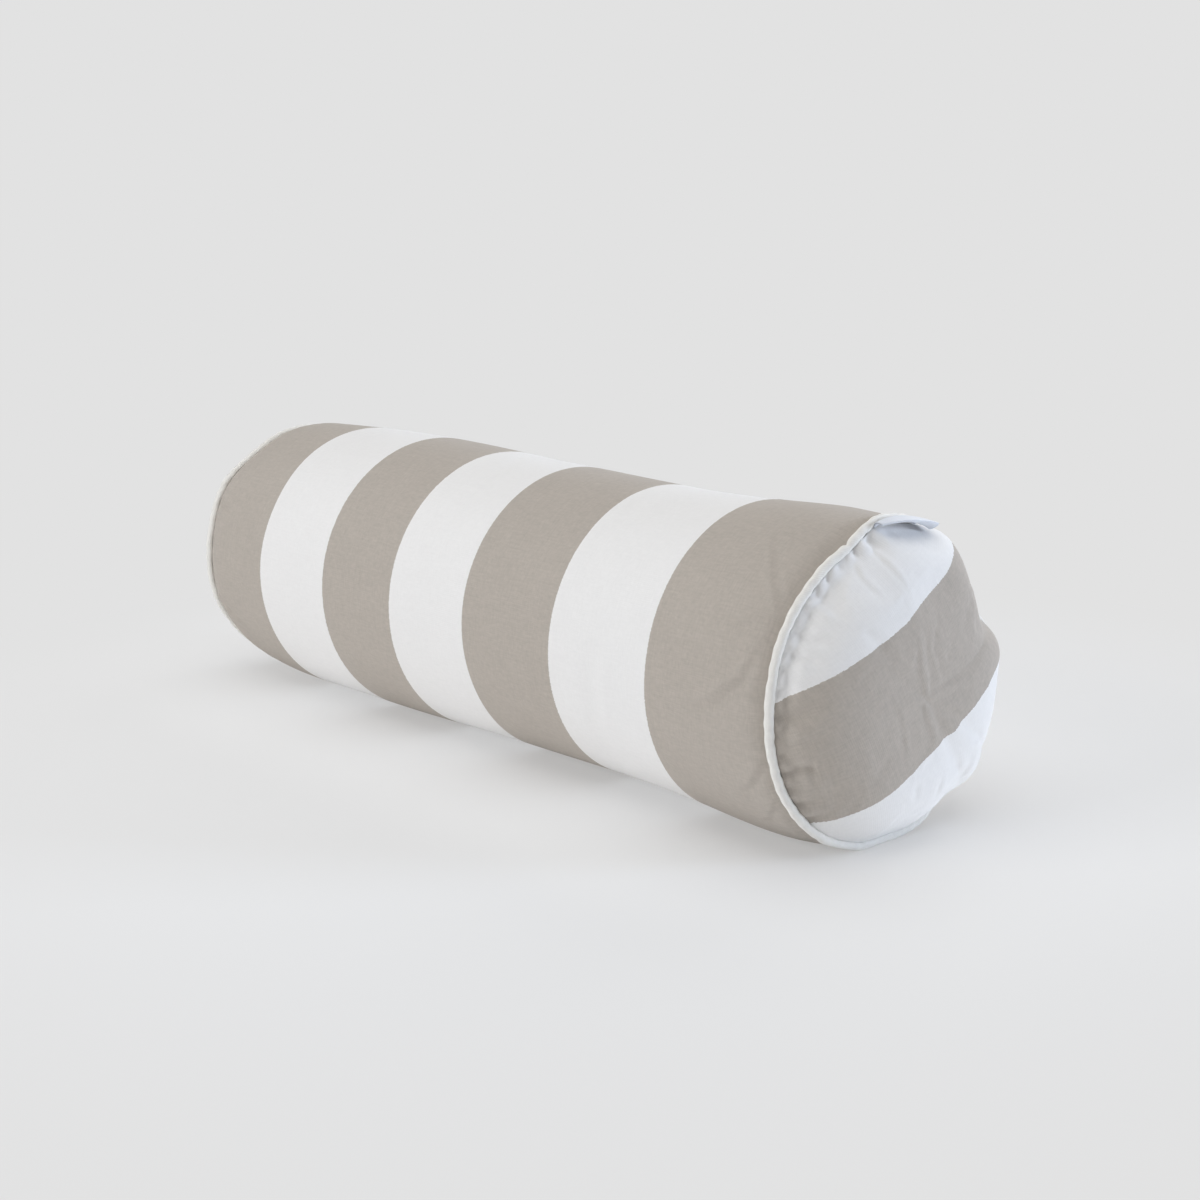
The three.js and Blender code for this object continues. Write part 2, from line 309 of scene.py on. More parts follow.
@dataclass(frozen=True)
class Gathers:
    """Small puckers that the stitching pulls into the cloth all along a seam.

    Each is deepest at one share of its reach, and it widens on its way in.
    """

    pitch: float
    depth: float
    reach: float
    width: float
    seed: int
    deepest: float = 0.22

    def depth_at(self, angles: Numbers, inwards: Numbers, radius: float) -> Numbers:
        """Works out how deep the puckers are.

        Args:
            angles: Angles round the roll.
            inwards: Distances from the seam along the cloth.
            radius: The seam's radius.

        Returns:
            One depth for each place, positive where the cloth sinks.
        """
        # Each pucker draws its own place, depth, reach, width and lean. Only a few are deep.
        draw = np.random.default_rng(self.seed)
        count = round(2 * math.pi * radius / self.pitch)
        places = (np.arange(count) + draw.uniform(-0.4, 0.4, count)) * 360 / count
        depths = self.depth * draw.uniform(0.1, 1.0, count) ** 1.6
        reaches = self.reach * draw.uniform(0.4, 1.3, count)
        widths = self.width * draw.uniform(0.7, 1.4, count)
        leans = draw.uniform(-0.35, 0.35, count)
        total = np.zeros(np.shape(angles))
        for place, depth, reach, width, lean in zip(places, depths, reaches, widths, leans):
            across = np.radians(turn_between(angles, place)) * radius - lean * inwards
            rise = inwards / (self.deepest * reach)
            total += depth * bump(across, width * (1 + 0.5 * inwards / reach)) * rise * np.exp(1 - rise)
        return total


@dataclass
class WrapForm:
    """The shape of the striped wrap, from the far seam to the near one.

    The profile's rows give a place along the roll and the radius there. The dents' rows give a place
    along the roll, an angle, a depth, and how far the dent spreads along the roll and, in degrees, round
    it. The flat spot underneath fades over its margin at the sides and over its run-out at the ends.
    """

    near: Seam
    far: Seam
    profile: tuple[tuple[float, float], ...]
    dents: tuple[tuple[float, float, float, float, float], ...]
    creases: tuple[Crease, ...]
    gathers: Gathers
    rows: int = 168
    columns: int = 480
    crowding: float = 0.6
    end_clearance: float = 3.0
    far_inset: float = 0.5
    near_inset: float = 3.0
    flat_margin: float = 8.0
    flat_run_out: float = 9.0

    def angles(self) -> Numbers:
        """The angles of the columns, from the lengthwise closing seam and round."""
        return CLOSING_SEAM_ANGLE + 360 * np.arange(self.columns) / self.columns

    def row_places(self) -> Numbers:
        """Places the rows along the roll, closer together near the seams, where the cloth puckers.

        Returns:
            The rows' places along the roll, rising.
        """
        share = np.linspace(-1, 1, self.rows)
        bent = (1 - self.crowding) * share + self.crowding * np.sin(math.pi * share / 2)
        low = self.far.mean_x + self.end_clearance
        high = self.near.mean_x - self.end_clearance
        return (low + high) / 2 + bent * (high - low) / 2

    def control_rings(self, angles: Numbers) -> tuple[Numbers, Numbers]:
        """Makes the rings that the wrap runs through.

        Args:
            angles: Angles round the roll.

        Returns:
            The rings' mean places along the roll, and for each ring the place along the roll and the
            radius at each angle.
        """
        table = np.array(self.profile)
        places = [self.far.mean_x + self.end_clearance]
        rings = [self.sewn_ring(self.far, angles)]
        for x, radius in table:
            seam = self.near if x > 0 else self.far
            across, seam_radius = seam.middle(angles)
            follow = max(0.0, 1 - abs(seam.mean_x - x) / SEAM_FADE) ** 2
            places.append(x)
            along = x + follow * (across - seam.mean_x)
            rings.append([along, radius + follow * (seam_radius - seam.mean_radius)])
        places.append(self.near.mean_x - self.end_clearance)
        rings.append(self.sewn_ring(self.near, angles))
        return np.array(places), np.array(rings)

    def sewn_ring(self, seam: Seam, angles: Numbers) -> list[Numbers]:
        """Makes the wrap's last ring, tight behind the piping.

        Args:
            seam: The seam at that end.
            angles: Angles round the roll.

        Returns:
            The ring's place along the roll and its radius, at each angle.
        """
        across, radius = seam.middle(angles)
        inset = self.near_inset if seam.end_sign > 0 else self.far_inset
        return [across - seam.end_sign * self.end_clearance, radius - inset]

    def points(self) -> Numbers:
        """Places the wrap's grid of points.

        Returns:
            Rows of points, from the far seam to the near one.
        """
        angles = self.angles()
        places, rings = self.control_rings(angles)
        rows = self.row_places()
        read = smooth_curve(places, rings.reshape(len(places), -1), rows).reshape(self.rows, 2, -1)
        along, radius = read[:, 0], read[:, 1]
        key, turn = np.meshgrid(rows, angles, indexing="ij")
        radius = radius - self.sink(key, turn)
        y = radius * np.cos(np.radians(turn))
        z = AXIS_HEIGHT + radius * np.sin(np.radians(turn))
        # The floor flattens the underside, apart from the ends, which the piping holds up.
        from_end = np.clip(np.minimum(key - rows[0], rows[-1] - key) / self.flat_run_out, 0, 1)
        inside = np.clip((FLAT_HALF_WIDTH + self.flat_margin - np.abs(y)) / self.flat_margin, 0, 1)
        pressed = inside * (z < AXIS_HEIGHT) * from_end
        lift = (1 - from_end) ** 2 * PIPING_LIFT
        return np.stack([along, y, np.maximum(z * (1 - pressed), lift)], axis=-1)

    def sink(self, key: Numbers, turn: Numbers) -> Numbers:
        """Adds up how far the cloth sinks below its plain round form.

        Args:
            key: Places along the roll.
            turn: Angles round the roll.

        Returns:
            One depth for each place.
        """
        depth = np.zeros(key.shape)
        for x, angle, deep, along_x, along_angle in self.dents:
            depth += deep * bump(key - x, along_x) * bump(turn_between(turn, angle), along_angle)
        cloth = np.stack([key, np.radians(turn % 360) * MEAN_RADIUS], axis=-1).reshape(-1, 2)
        creased = sum(crease.depth_at(cloth) for crease in self.creases)
        from_far = key - (self.far.mean_x + self.end_clearance)
        from_near = self.near.mean_x - self.end_clearance - key
        depth += creased.reshape(key.shape)
        depth += self.gathers.depth_at(turn, from_near, MEAN_RADIUS)
        return depth + self.gathers.depth_at(turn + 180, from_far, MEAN_RADIUS)


@dataclass
class PanelForm:
    """The shape of one crowned end panel: a flat disc of cloth, pushed out by the filling.

    The dents' rows give an angle, a share of the crown's radius, a depth, and how far the dent spreads in
    degrees and as a share of the radius. The swells' rows give an angle, a size and a spread in degrees.
    """

    seam: Seam
    height: float
    fullness: float
    dents: tuple[tuple[float, float, float, float, float], ...]
    swells: tuple[tuple[float, float, float], ...]
    creases: tuple[Crease, ...]
    gathers: Gathers
    start_out: float = 0.5
    start_inset: float = 2.95
    dent_hold: float = 8.0
    swell_rise: float = 4.0
    swell_hold: float = 24.0
    length_steps: int = 400
    crease_fade: float = 1.5

    def flat_radius(self) -> float:
        """The radius of the flat disc that the crown is made from."""
        return float(self.lengths()[-1])

    def lengths(self) -> Numbers:
        """Adds up lengths along the cloth from the crown's middle.

        Returns:
            The lengths to even shares of the crown's radius.
        """
        share = np.linspace(0, 1, self.length_steps)
        rim = self.seam.mean_radius - self.start_inset
        slope = self.height * self.fullness * share ** (self.fullness - 1)
        step = np.hypot(rim, slope)
        return np.concatenate([[0], np.cumsum((step[1:] + step[:-1]) / 2 * np.diff(share))])

    def share_of(self, flat_share: Numbers) -> Numbers:
        """Turns shares of the flat disc's radius into shares of the crown's radius.

        Args:
            flat_share: Shares of the flat disc's radius.

        Returns:
            Shares of the crown's radius, in the same shape.
        """
        lengths = self.lengths()
        even = np.linspace(0, 1, self.length_steps)
        read = np.interp(np.ravel(flat_share) * lengths[-1], lengths, even)
        return read.reshape(flat_share.shape)

    def points(self, share: Numbers, angles: Numbers, depth: float | Numbers) -> Numbers:
        """Places points of the crown.

        Args:
            share: Shares of the crown's radius.
            angles: Angles round the roll.
            depth: How far to sink below the plain crown, square to it.

        Returns:
            The points.
        """
        start = self.seam.beside(angles, self.start_out, -self.start_inset)
        rim = np.hypot(start[..., 1], start[..., 2] - AXIS_HEIGHT)
        across, _ = self.seam.middle(angles)
        slope = self.height * self.fullness * share ** (self.fullness - 1) / rim
        steep = np.hypot(1, slope)
        follow = share**2
        out = self.seam.end_sign * (self.seam.mean_x * (1 - follow) + across * follow) + self.start_out
        out = out + self.height * (1 - share**self.fullness) - depth / steep
        for angle, dent_share, deep, along_angle, along_share in self.dents:
            beside = bump(turn_between(angles, angle), along_angle)
            near_dent = beside * bump(share - dent_share, along_share)
            out = out - deep * (1 - share**self.dent_hold) * near_dent
        swell = sum(size * bump(turn_between(angles, angle), spread) for angle, size, spread in self.swells)
        wall = share**self.swell_rise * (1 - share**self.swell_hold)
        inward = share + (swell * wall - depth * slope / steep) / rim
        y = start[..., 1] * inward
        z = AXIS_HEIGHT + (start[..., 2] - AXIS_HEIGHT) * inward
        return np.stack([self.seam.end_sign * out, y, np.maximum(z, PIPING_LIFT)], axis=-1)

    def sink(self, angles: Numbers, cloth: Numbers) -> Numbers:
        """Adds up how far creases and puckers sink the cloth, held at nothing along the seam.

        Args:
            angles: Angles round the roll.
            cloth: Places on the flat disc.

        Returns:
            One depth for each place.
        """
        inwards = self.flat_radius() - np.linalg.norm(cloth, axis=-1)
        hold = np.clip(inwards / self.crease_fade, 0, 1)
        depth = sum(crease.depth_at(cloth) for crease in self.creases) * hold
        return depth + self.gathers.depth_at(angles, inwards, self.seam.mean_radius)


def on_disc(flat_radius: float, rows: tuple[tuple[float, float], ...]) -> tuple[tuple[float, float], ...]:
    """Turns rows of angle and share of the disc's radius into places on the flat disc.

    Args:
        flat_radius: The disc's radius.
        rows: An angle and a share of the radius for each place.

    Returns:
        The places.
    """
    places = []
    for angle, share in rows:
        turn = math.radians(angle)
        places.append((flat_radius * share * math.cos(turn), flat_radius * share * math.sin(turn)))
    return tuple(places)


def on_wrap(rows: tuple[tuple[float, float], ...]) -> tuple[tuple[float, float], ...]:
    """Turns rows of place along the roll and angle into places on the flat wrap."""
    return tuple((x, math.radians(angle) * MEAN_RADIUS) for x, angle in rows)


# --- Finishes -------------------------------------------------------------------------------------------


# A wave texture with this scale repeats once in each unit.
WAVE_REPEAT = 0.31416
# A noise texture keeps close to 0.5, so the canvas's tones and its stripes' edges multiply it by these.
TONE_GAIN = 4.0
WAVER_GAIN = 5.0


def linear(colour: str) -> tuple[float, float, float, float]:
    """Turns an sRGB hex colour into the linear colour that Blender uses.

    Args:
        colour: The colour as "#rrggbb".

    Returns:
        Red, green, blue and full cover.
    """
    parts = [int(colour[place : place + 2], 16) / 255 for place in (1, 3, 5)]
    straight = [part / 12.92 if part <= 0.04045 else ((part + 0.055) / 1.055) ** 2.4 for part in parts]
    return (*straight, 1.0)


def wave_scale(pitch: float) -> float:
    """The scale at which a wave texture repeats once in a pitch given in millimetres."""
    return WAVE_REPEAT / (pitch * MM)


def add_node(
    tree: bpy.types.NodeTree, kind: str, inputs: dict[int | str, Any], **settings: Any
) -> bpy.types.Node:
    """Adds one node with its settings and links.

    Args:
        tree: The node tree.
        kind: Blender's name for the kind of node.
        inputs: For each input socket, an output socket to link or a plain value.
        settings: The node's own options.

    Returns:
        The node.
    """
    node = tree.nodes.new(kind)
    for name, value in settings.items():
        setattr(node, name, value)
    for key, value in inputs.items():
        if isinstance(value, bpy.types.NodeSocket):
            tree.links.new(value, node.inputs[key])
        else:
            node.inputs[key].default_value = value
    return node


def new_material(name: str) -> bpy.types.Material:
    """Makes an empty node material.

    Args:
        name: The material's name.

    Returns:
        The material, with no nodes.
    """
    material = bpy.data.materials.new(name)
    material.use_nodes = True
    material.node_tree.nodes.clear()
    return material


@dataclass(frozen=True)
class Yarn:
    """How a canvas shows its threads.

    Lengths are in millimetres, and tones are shares of the colour's value. The real threads lie 0.4 mm
    apart, too fine to show, so the weave is drawn coarser, at the pitch given here. Thicker threads stand
    up by the slubs' relief, against 1 for the weave.
    """

    pitch: float = 1.3
    grain_length: float = 5.0
    slub_width: float = 1.1
    slub_length: float = 46.0
    cloud_size: float = 30.0
    grain_tone: float = 0.05
    slub_tone: float = 0.02
    cloud_tone: float = 0.014
    slub_relief: float = 2.0
    relief: float = 0.06


@dataclass(frozen=True)
class WovenCanvas:
    """Solution-dyed polyester canvas, plain woven in wide stripes and left unglazed.

    It gives the eye a matt, finely grained colour with crisp stripe edges, faint lines where thicker
    threads run both ways, and a little fuzz that lightens it where it turns away. White shows less of its
    unevenness than taupe does, by the contrast given here.
    """

    name: str
    edges: tuple[float, ...]
    colours: tuple[str, str]
    yarn: Yarn = Yarn()
    roughness: float = 0.92
    specular: float = 0.18
    sheen: float = 0.13
    contrast: float = 1.9
    edge_waver: float = 0.3

    def make(self) -> bpy.types.Material:
        """Builds the material. The stripes follow one another along the first direction of the cloth.

        Returns:
            The material.
        """
        material = new_material(self.name)
        tree = material.node_tree
        place = add_node(tree, "ShaderNodeUVMap", {}, uv_map=CLOTH_LAYER).outputs["UV"]
        yarn = self.yarn
        textures = (
            (yarn.pitch, yarn.grain_length, yarn.grain_tone),
            (yarn.grain_length, yarn.pitch, yarn.grain_tone),
            (yarn.slub_width, yarn.slub_length, yarn.slub_tone),
            (yarn.slub_length, yarn.slub_width, yarn.slub_tone),
            (yarn.cloud_size, yarn.cloud_size, yarn.cloud_tone),
        )
        tone = 1.0
        for number, (width, length, strength) in enumerate(textures):
            streaks = self.streaks(tree, place, width, length, float(number))
            gain = strength * TONE_GAIN
            tone = add_node(
                tree, "ShaderNodeMath", {0: streaks, 1: gain, 2: tone}, operation="MULTIPLY_ADD"
            ).outputs["Value"]
        middle = sum(strength for _, _, strength in textures) * TONE_GAIN / 2
        evened = add_node(
            tree, "ShaderNodeMath", {0: tone, 1: middle}, operation="SUBTRACT"
        ).outputs["Value"]
        stripes = self.stripes(tree, place)
        red = add_node(tree, "ShaderNodeSeparateColor", {"Color": stripes}).outputs["Red"]
        darkness = add_node(
            tree, "ShaderNodeMath", {0: red, 1: -self.contrast, 2: self.contrast}, operation="MULTIPLY_ADD"
        ).outputs["Value"]
        unevenness = add_node(
            tree, "ShaderNodeMath", {0: evened, 1: 1.0}, operation="SUBTRACT"
        ).outputs["Value"]
        value = add_node(
            tree, "ShaderNodeMath", {0: unevenness, 1: darkness, 2: 1.0}, operation="MULTIPLY_ADD"
        ).outputs["Value"]
        colour = add_node(
            tree, "ShaderNodeHueSaturation", {"Value": value, "Color": stripes}
        ).outputs["Color"]
        weave = self.weave(tree, place)
        height = add_node(
            tree, "ShaderNodeMath", {0: evened, 1: yarn.slub_relief, 2: weave}, operation="MULTIPLY_ADD"
        ).outputs["Value"]
        normal = add_node(
            tree, "ShaderNodeBump", {"Height": height, "Distance": yarn.relief * MM, "Strength": 1.0}
        ).outputs["Normal"]
        surface = add_node(
            tree,
            "ShaderNodeBsdfPrincipled",
            {
                "Base Color": colour,
                "Roughness": self.roughness,
                "Specular IOR Level": self.specular,
                "Sheen Weight": self.sheen,
                "Sheen Roughness": 0.6,
                "Normal": normal,
            },
        ).outputs["BSDF"]
        add_node(tree, "ShaderNodeOutputMaterial", {"Surface": surface})
        return material

    def stripes(self, tree: bpy.types.NodeTree, place: bpy.types.NodeSocket) -> bpy.types.NodeSocket:
        """Draws the stripes, with edges that waver by part of a thread as a woven edge does.

        Args:
            tree: The material's node tree.
            place: The place on the cloth.

        Returns:
            The stripes' colour.
        """
        across = add_node(tree, "ShaderNodeSeparateXYZ", {"Vector": place}).outputs["X"]
        waver = add_node(
            tree, "ShaderNodeTexNoise", {"Vector": place, "Scale": 900.0, "Detail": 1.0}
        ).outputs["Fac"]
        wavered = add_node(
            tree,
            "ShaderNodeMath",
            {0: waver, 1: WAVER_GAIN * self.edge_waver * MM, 2: across},
            operation="MULTIPLY_ADD",
        ).outputs["Value"]
        # The noise moves the cloth's places up by half its range, and the edges move with them.
        shift = WAVER_GAIN / 2 * self.edge_waver
        # Each edge in turn switches from the first colour to the second, or back again.
        share = 0.0
        for number, edge in enumerate(self.edges):
            past = add_node(
                tree,
                "ShaderNodeMath",
                {0: wavered, 1: (edge + shift) * MM},
                operation="GREATER_THAN",
            ).outputs["Value"]
            share = add_node(
                tree, "ShaderNodeMath", {0: past, 1: (-1.0) ** number, 2: share}, operation="MULTIPLY_ADD"
            ).outputs["Value"]
        first, second = (linear(colour) for colour in self.colours)
        return add_node(
            tree, "ShaderNodeMix", {0: share, 6: first, 7: second}, data_type="RGBA"
        ).outputs[2]

    def streaks(
        self,
        tree: bpy.types.NodeTree,
        place: bpy.types.NodeSocket,
        width: float,
        length: float,
        shift: float,
    ) -> bpy.types.NodeSocket:
        """Draws uneven streaks along the threads.

        Args:
            tree: The material's node tree.
            place: The place on the cloth.
            width: The streaks' size across the cloth's first direction, in millimetres.
            length: Their size across its second direction.
            shift: Moves the pattern, so that no two sets of streaks are alike.

        Returns:
            How light the cloth is, from 0 to 1.
        """
        stretched = add_node(
            tree,
            "ShaderNodeMapping",
            {
                "Vector": place,
                "Scale": (1 / (width * MM), 1 / (length * MM), 1.0),
                "Location": (7.3 * shift, 3.1 * shift, 5.7 * shift),
            },
        ).outputs["Vector"]
        return add_node(
            tree, "ShaderNodeTexNoise", {"Vector": stretched, "Scale": 1.0, "Detail": 2.0}
        ).outputs["Fac"]

    def weave(self, tree: bpy.types.NodeTree, place: bpy.types.NodeSocket) -> bpy.types.NodeSocket:
        """Draws the over and under of a plain weave.

        Args:
            tree: The material's node tree.
            place: The place on the cloth.

        Returns:
            The weave's height, from 0 to 1.
        """
        scale = wave_scale(self.yarn.pitch)
        over, under = [
            add_node(
                tree, "ShaderNodeTexWave", {"Vector": place, "Scale": scale}, bands_direction=direction
            ).outputs["Fac"]
            for direction in ("X", "Y")
        ]
        return add_node(tree, "ShaderNodeMath", {0: over, 1: under}, operation="MULTIPLY").outputs["Value"]


@dataclass(frozen=True)
class BiasCloth:
    """White bias-cut cotton-look polyester, rolled tightly over a cord.

    It gives the eye a soft cream white with slanting threads and small squeezed folds where it is sewn.
    The folds' hollows are painted darker, as painted shade. The real threads are 0.4 mm apart, and they
    are drawn coarser so that they show. The folds stand up by the squeeze's relief, against 1 for the
    threads.
    """

    name: str = "bias_cut_polyester_over_cord"
    colour: str = "#f5f3ee"
    # The darker colour is painted shade, laid into the hollows of the squeezed folds.
    shade: str = "#e6e4df"
    thread_pitch: float = 1.1
    slant: float = 45.0
    squeeze_relief: float = 2.2
    relief: float = 0.12
    roughness: float = 0.88

    def make(self) -> bpy.types.Material:
        """Builds the material. Its threads slant across the length of the piping.

        Returns:
            The material.
        """
        material = new_material(self.name)
        tree = material.node_tree
        place = add_node(tree, "ShaderNodeUVMap", {}, uv_map=CLOTH_LAYER).outputs["UV"]
        turned = add_node(
            tree, "ShaderNodeMapping", {"Vector": place, "Rotation": (0, 0, math.radians(self.slant))}
        ).outputs["Vector"]
        scale = wave_scale(self.thread_pitch)
        threads = add_node(
            tree, "ShaderNodeTexWave", {"Vector": turned, "Scale": scale, "Distortion": 1.5, "Detail": 1.0}
        ).outputs["Fac"]
        squeeze = add_node(
            tree, "ShaderNodeTexNoise", {"Vector": place, "Scale": 260.0, "Detail": 2.0}
        ).outputs["Fac"]
        height = add_node(
            tree,
            "ShaderNodeMath",
            {0: squeeze, 1: self.squeeze_relief, 2: threads},
            operation="MULTIPLY_ADD",
        ).outputs["Value"]
        # Painted shade: where the squeezed folds sink, the cloth takes the darker colour.
        colour = add_node(
            tree,
            "ShaderNodeMix",
            {0: squeeze, 6: linear(self.shade), 7: linear(self.colour)},
            data_type="RGBA",
        ).outputs[2]
        normal = add_node(
            tree, "ShaderNodeBump", {"Height": height, "Distance": self.relief * MM, "Strength": 1.0}
        ).outputs["Normal"]
        surface = add_node(
            tree,
            "ShaderNodeBsdfPrincipled",
            {
                "Base Color": colour,
                "Roughness": self.roughness,
                "Specular IOR Level": 0.2,
                "Sheen Weight": 0.08,
                "Normal": normal,
            },
        ).outputs["BSDF"]
        add_node(tree, "ShaderNodeOutputMaterial", {"Surface": surface})
        return material


@dataclass(frozen=True)
class WovenTape:
    """White polyester satin tape with woven selvedges, blank on both faces.

    It gives the eye a smooth clean white with a low silky shine and fine ribs across its length. The real
    ribs are 0.3 mm apart, and they are drawn coarser so that they show.
    """

    name: str = "polyester_satin_tape"
    colour: str = "#d6dae2"
    rib_pitch: float = 0.9
    relief: float = 0.03
    roughness: float = 0.55

    def make(self) -> bpy.types.Material:
        """Builds the material. Its ribs run across the tape.

        Returns:
            The material.
        """
        material = new_material(self.name)
        tree = material.node_tree
        place = add_node(tree, "ShaderNodeUVMap", {}, uv_map=CLOTH_LAYER).outputs["UV"]
        scale = wave_scale(self.rib_pitch)
        ribs = add_node(tree, "ShaderNodeTexWave", {"Vector": place, "Scale": scale}).outputs["Fac"]
        normal = add_node(
            tree, "ShaderNodeBump", {"Height": ribs, "Distance": self.relief * MM, "Strength": 1.0}
        ).outputs["Normal"]
        surface = add_node(
            tree,
            "ShaderNodeBsdfPrincipled",
            {
                "Base Color": linear(self.colour),
                "Roughness": self.roughness,
                "Specular IOR Level": 0.35,
                "Sheen Weight": 0.05,
                "Normal": normal,
            },
        ).outputs["BSDF"]
        add_node(tree, "ShaderNodeOutputMaterial", {"Surface": surface})
        return material


@dataclass(frozen=True)
class SewingThread:
    """Bonded white polyester thread, spun and twisted.

    It gives the eye a tiny soft highlight on each stitch. The real twist repeats every 0.3 mm, and it is
    drawn coarser so that it shows.
    """

    name: str = "bonded_polyester_thread"
    colour: str = "#e4e3de"
    twist_pitch: float = 0.5
    relief: float = 0.05
    roughness: float = 0.6

    def make(self) -> bpy.types.Material:
        """Builds the material, with the thread's twist as fine slanting bands.

        Returns:
            The material.
        """
        material = new_material(self.name)
        tree = material.node_tree
        place = add_node(tree, "ShaderNodeTexCoord", {}).outputs["Object"]
        scale = wave_scale(self.twist_pitch)
        twist = add_node(
            tree, "ShaderNodeTexWave", {"Vector": place, "Scale": scale}, bands_direction="DIAGONAL"
        ).outputs["Fac"]
        normal = add_node(
            tree, "ShaderNodeBump", {"Height": twist, "Distance": self.relief * MM, "Strength": 1.0}
        ).outputs["Normal"]
        surface = add_node(
            tree,
            "ShaderNodeBsdfPrincipled",
            {"Base Color": linear(self.colour), "Roughness": self.roughness, "Normal": normal},
        ).outputs["BSDF"]
        add_node(tree, "ShaderNodeOutputMaterial", {"Surface": surface})
        return material


@dataclass(frozen=True)
class StudioFloor:
    """Matt painted studio floor that runs into the backdrop with no line.

    It gives the eye one even pale grey, with only the roll's soft shadow on it. The camera sees lit paint
    mixed with the plain colour near the roll, and only the plain colour far from it. All other rays meet
    white paint with a faint painted glow that the camera never sees; it lights the roll's underside as a
    hidden fill lamp would. Its radii are in metres.
    """

    name: str = "matt_painted_studio_floor"
    colour: str = "#e2e2e2"
    paint: str = "#fafafa"
    # The painted glow's strength: the floor glows as a hidden fill light for the roll's underside.
    glow: float = 0.11
    shadow_share: float = 0.6
    lit_middle: tuple[float, float, float] = (0.12, 0.0, 0.0)
    lit_radius: float = 0.25
    plain_radius: float = 0.68

    def make(self) -> bpy.types.Material:
        """Builds the material.

        Returns:
            The material.
        """
        material = new_material(self.name)
        tree = material.node_tree
        place = add_node(tree, "ShaderNodeTexCoord", {}).outputs["Object"]
        away = add_node(
            tree, "ShaderNodeVectorMath", {0: place, 1: self.lit_middle}, operation="DISTANCE"
        ).outputs["Value"]
        near = add_node(
            tree,
            "ShaderNodeMapRange",
            {
                "Value": away,
                "From Min": self.lit_radius,
                "From Max": self.plain_radius,
                "To Min": self.shadow_share,
                "To Max": 0.0,
            },
            interpolation_type="SMOOTHSTEP",
        ).outputs["Result"]
        seen = add_node(tree, "ShaderNodeLightPath", {}).outputs["Is Camera Ray"]
        plain_share = add_node(
            tree, "ShaderNodeMath", {0: 1.0, 1: near}, operation="SUBTRACT"
        ).outputs["Value"]
        factor = add_node(
            tree, "ShaderNodeMath", {0: plain_share, 1: seen}, operation="MULTIPLY"
        ).outputs["Value"]
        paint = add_node(
            tree, "ShaderNodeBsdfDiffuse", {"Color": linear(self.paint), "Roughness": 0.6}
        ).outputs["BSDF"]
        unseen = add_node(tree, "ShaderNodeMath", {0: 1.0, 1: seen}, operation="SUBTRACT").outputs["Value"]
        # Painted glow: every ray but the camera's meets a faint emission, which lights the roll's
        # underside.
        strength = add_node(
            tree, "ShaderNodeMath", {0: unseen, 1: self.glow}, operation="MULTIPLY"
        ).outputs["Value"]
        glow = add_node(tree, "ShaderNodeEmission", {"Strength": strength}).outputs["Emission"]
        lit = add_node(tree, "ShaderNodeAddShader", {0: paint, 1: glow}).outputs["Shader"]
        plain = add_node(
            tree, "ShaderNodeEmission", {"Color": linear(self.colour), "Strength": 1.0}
        ).outputs["Emission"]
        mixed = add_node(tree, "ShaderNodeMixShader", {0: factor, 1: lit, 2: plain}).outputs["Shader"]
        add_node(tree, "ShaderNodeOutputMaterial", {"Surface": mixed})
        return material


# --- The filling's pressure -----------------------------------------------------------------------------


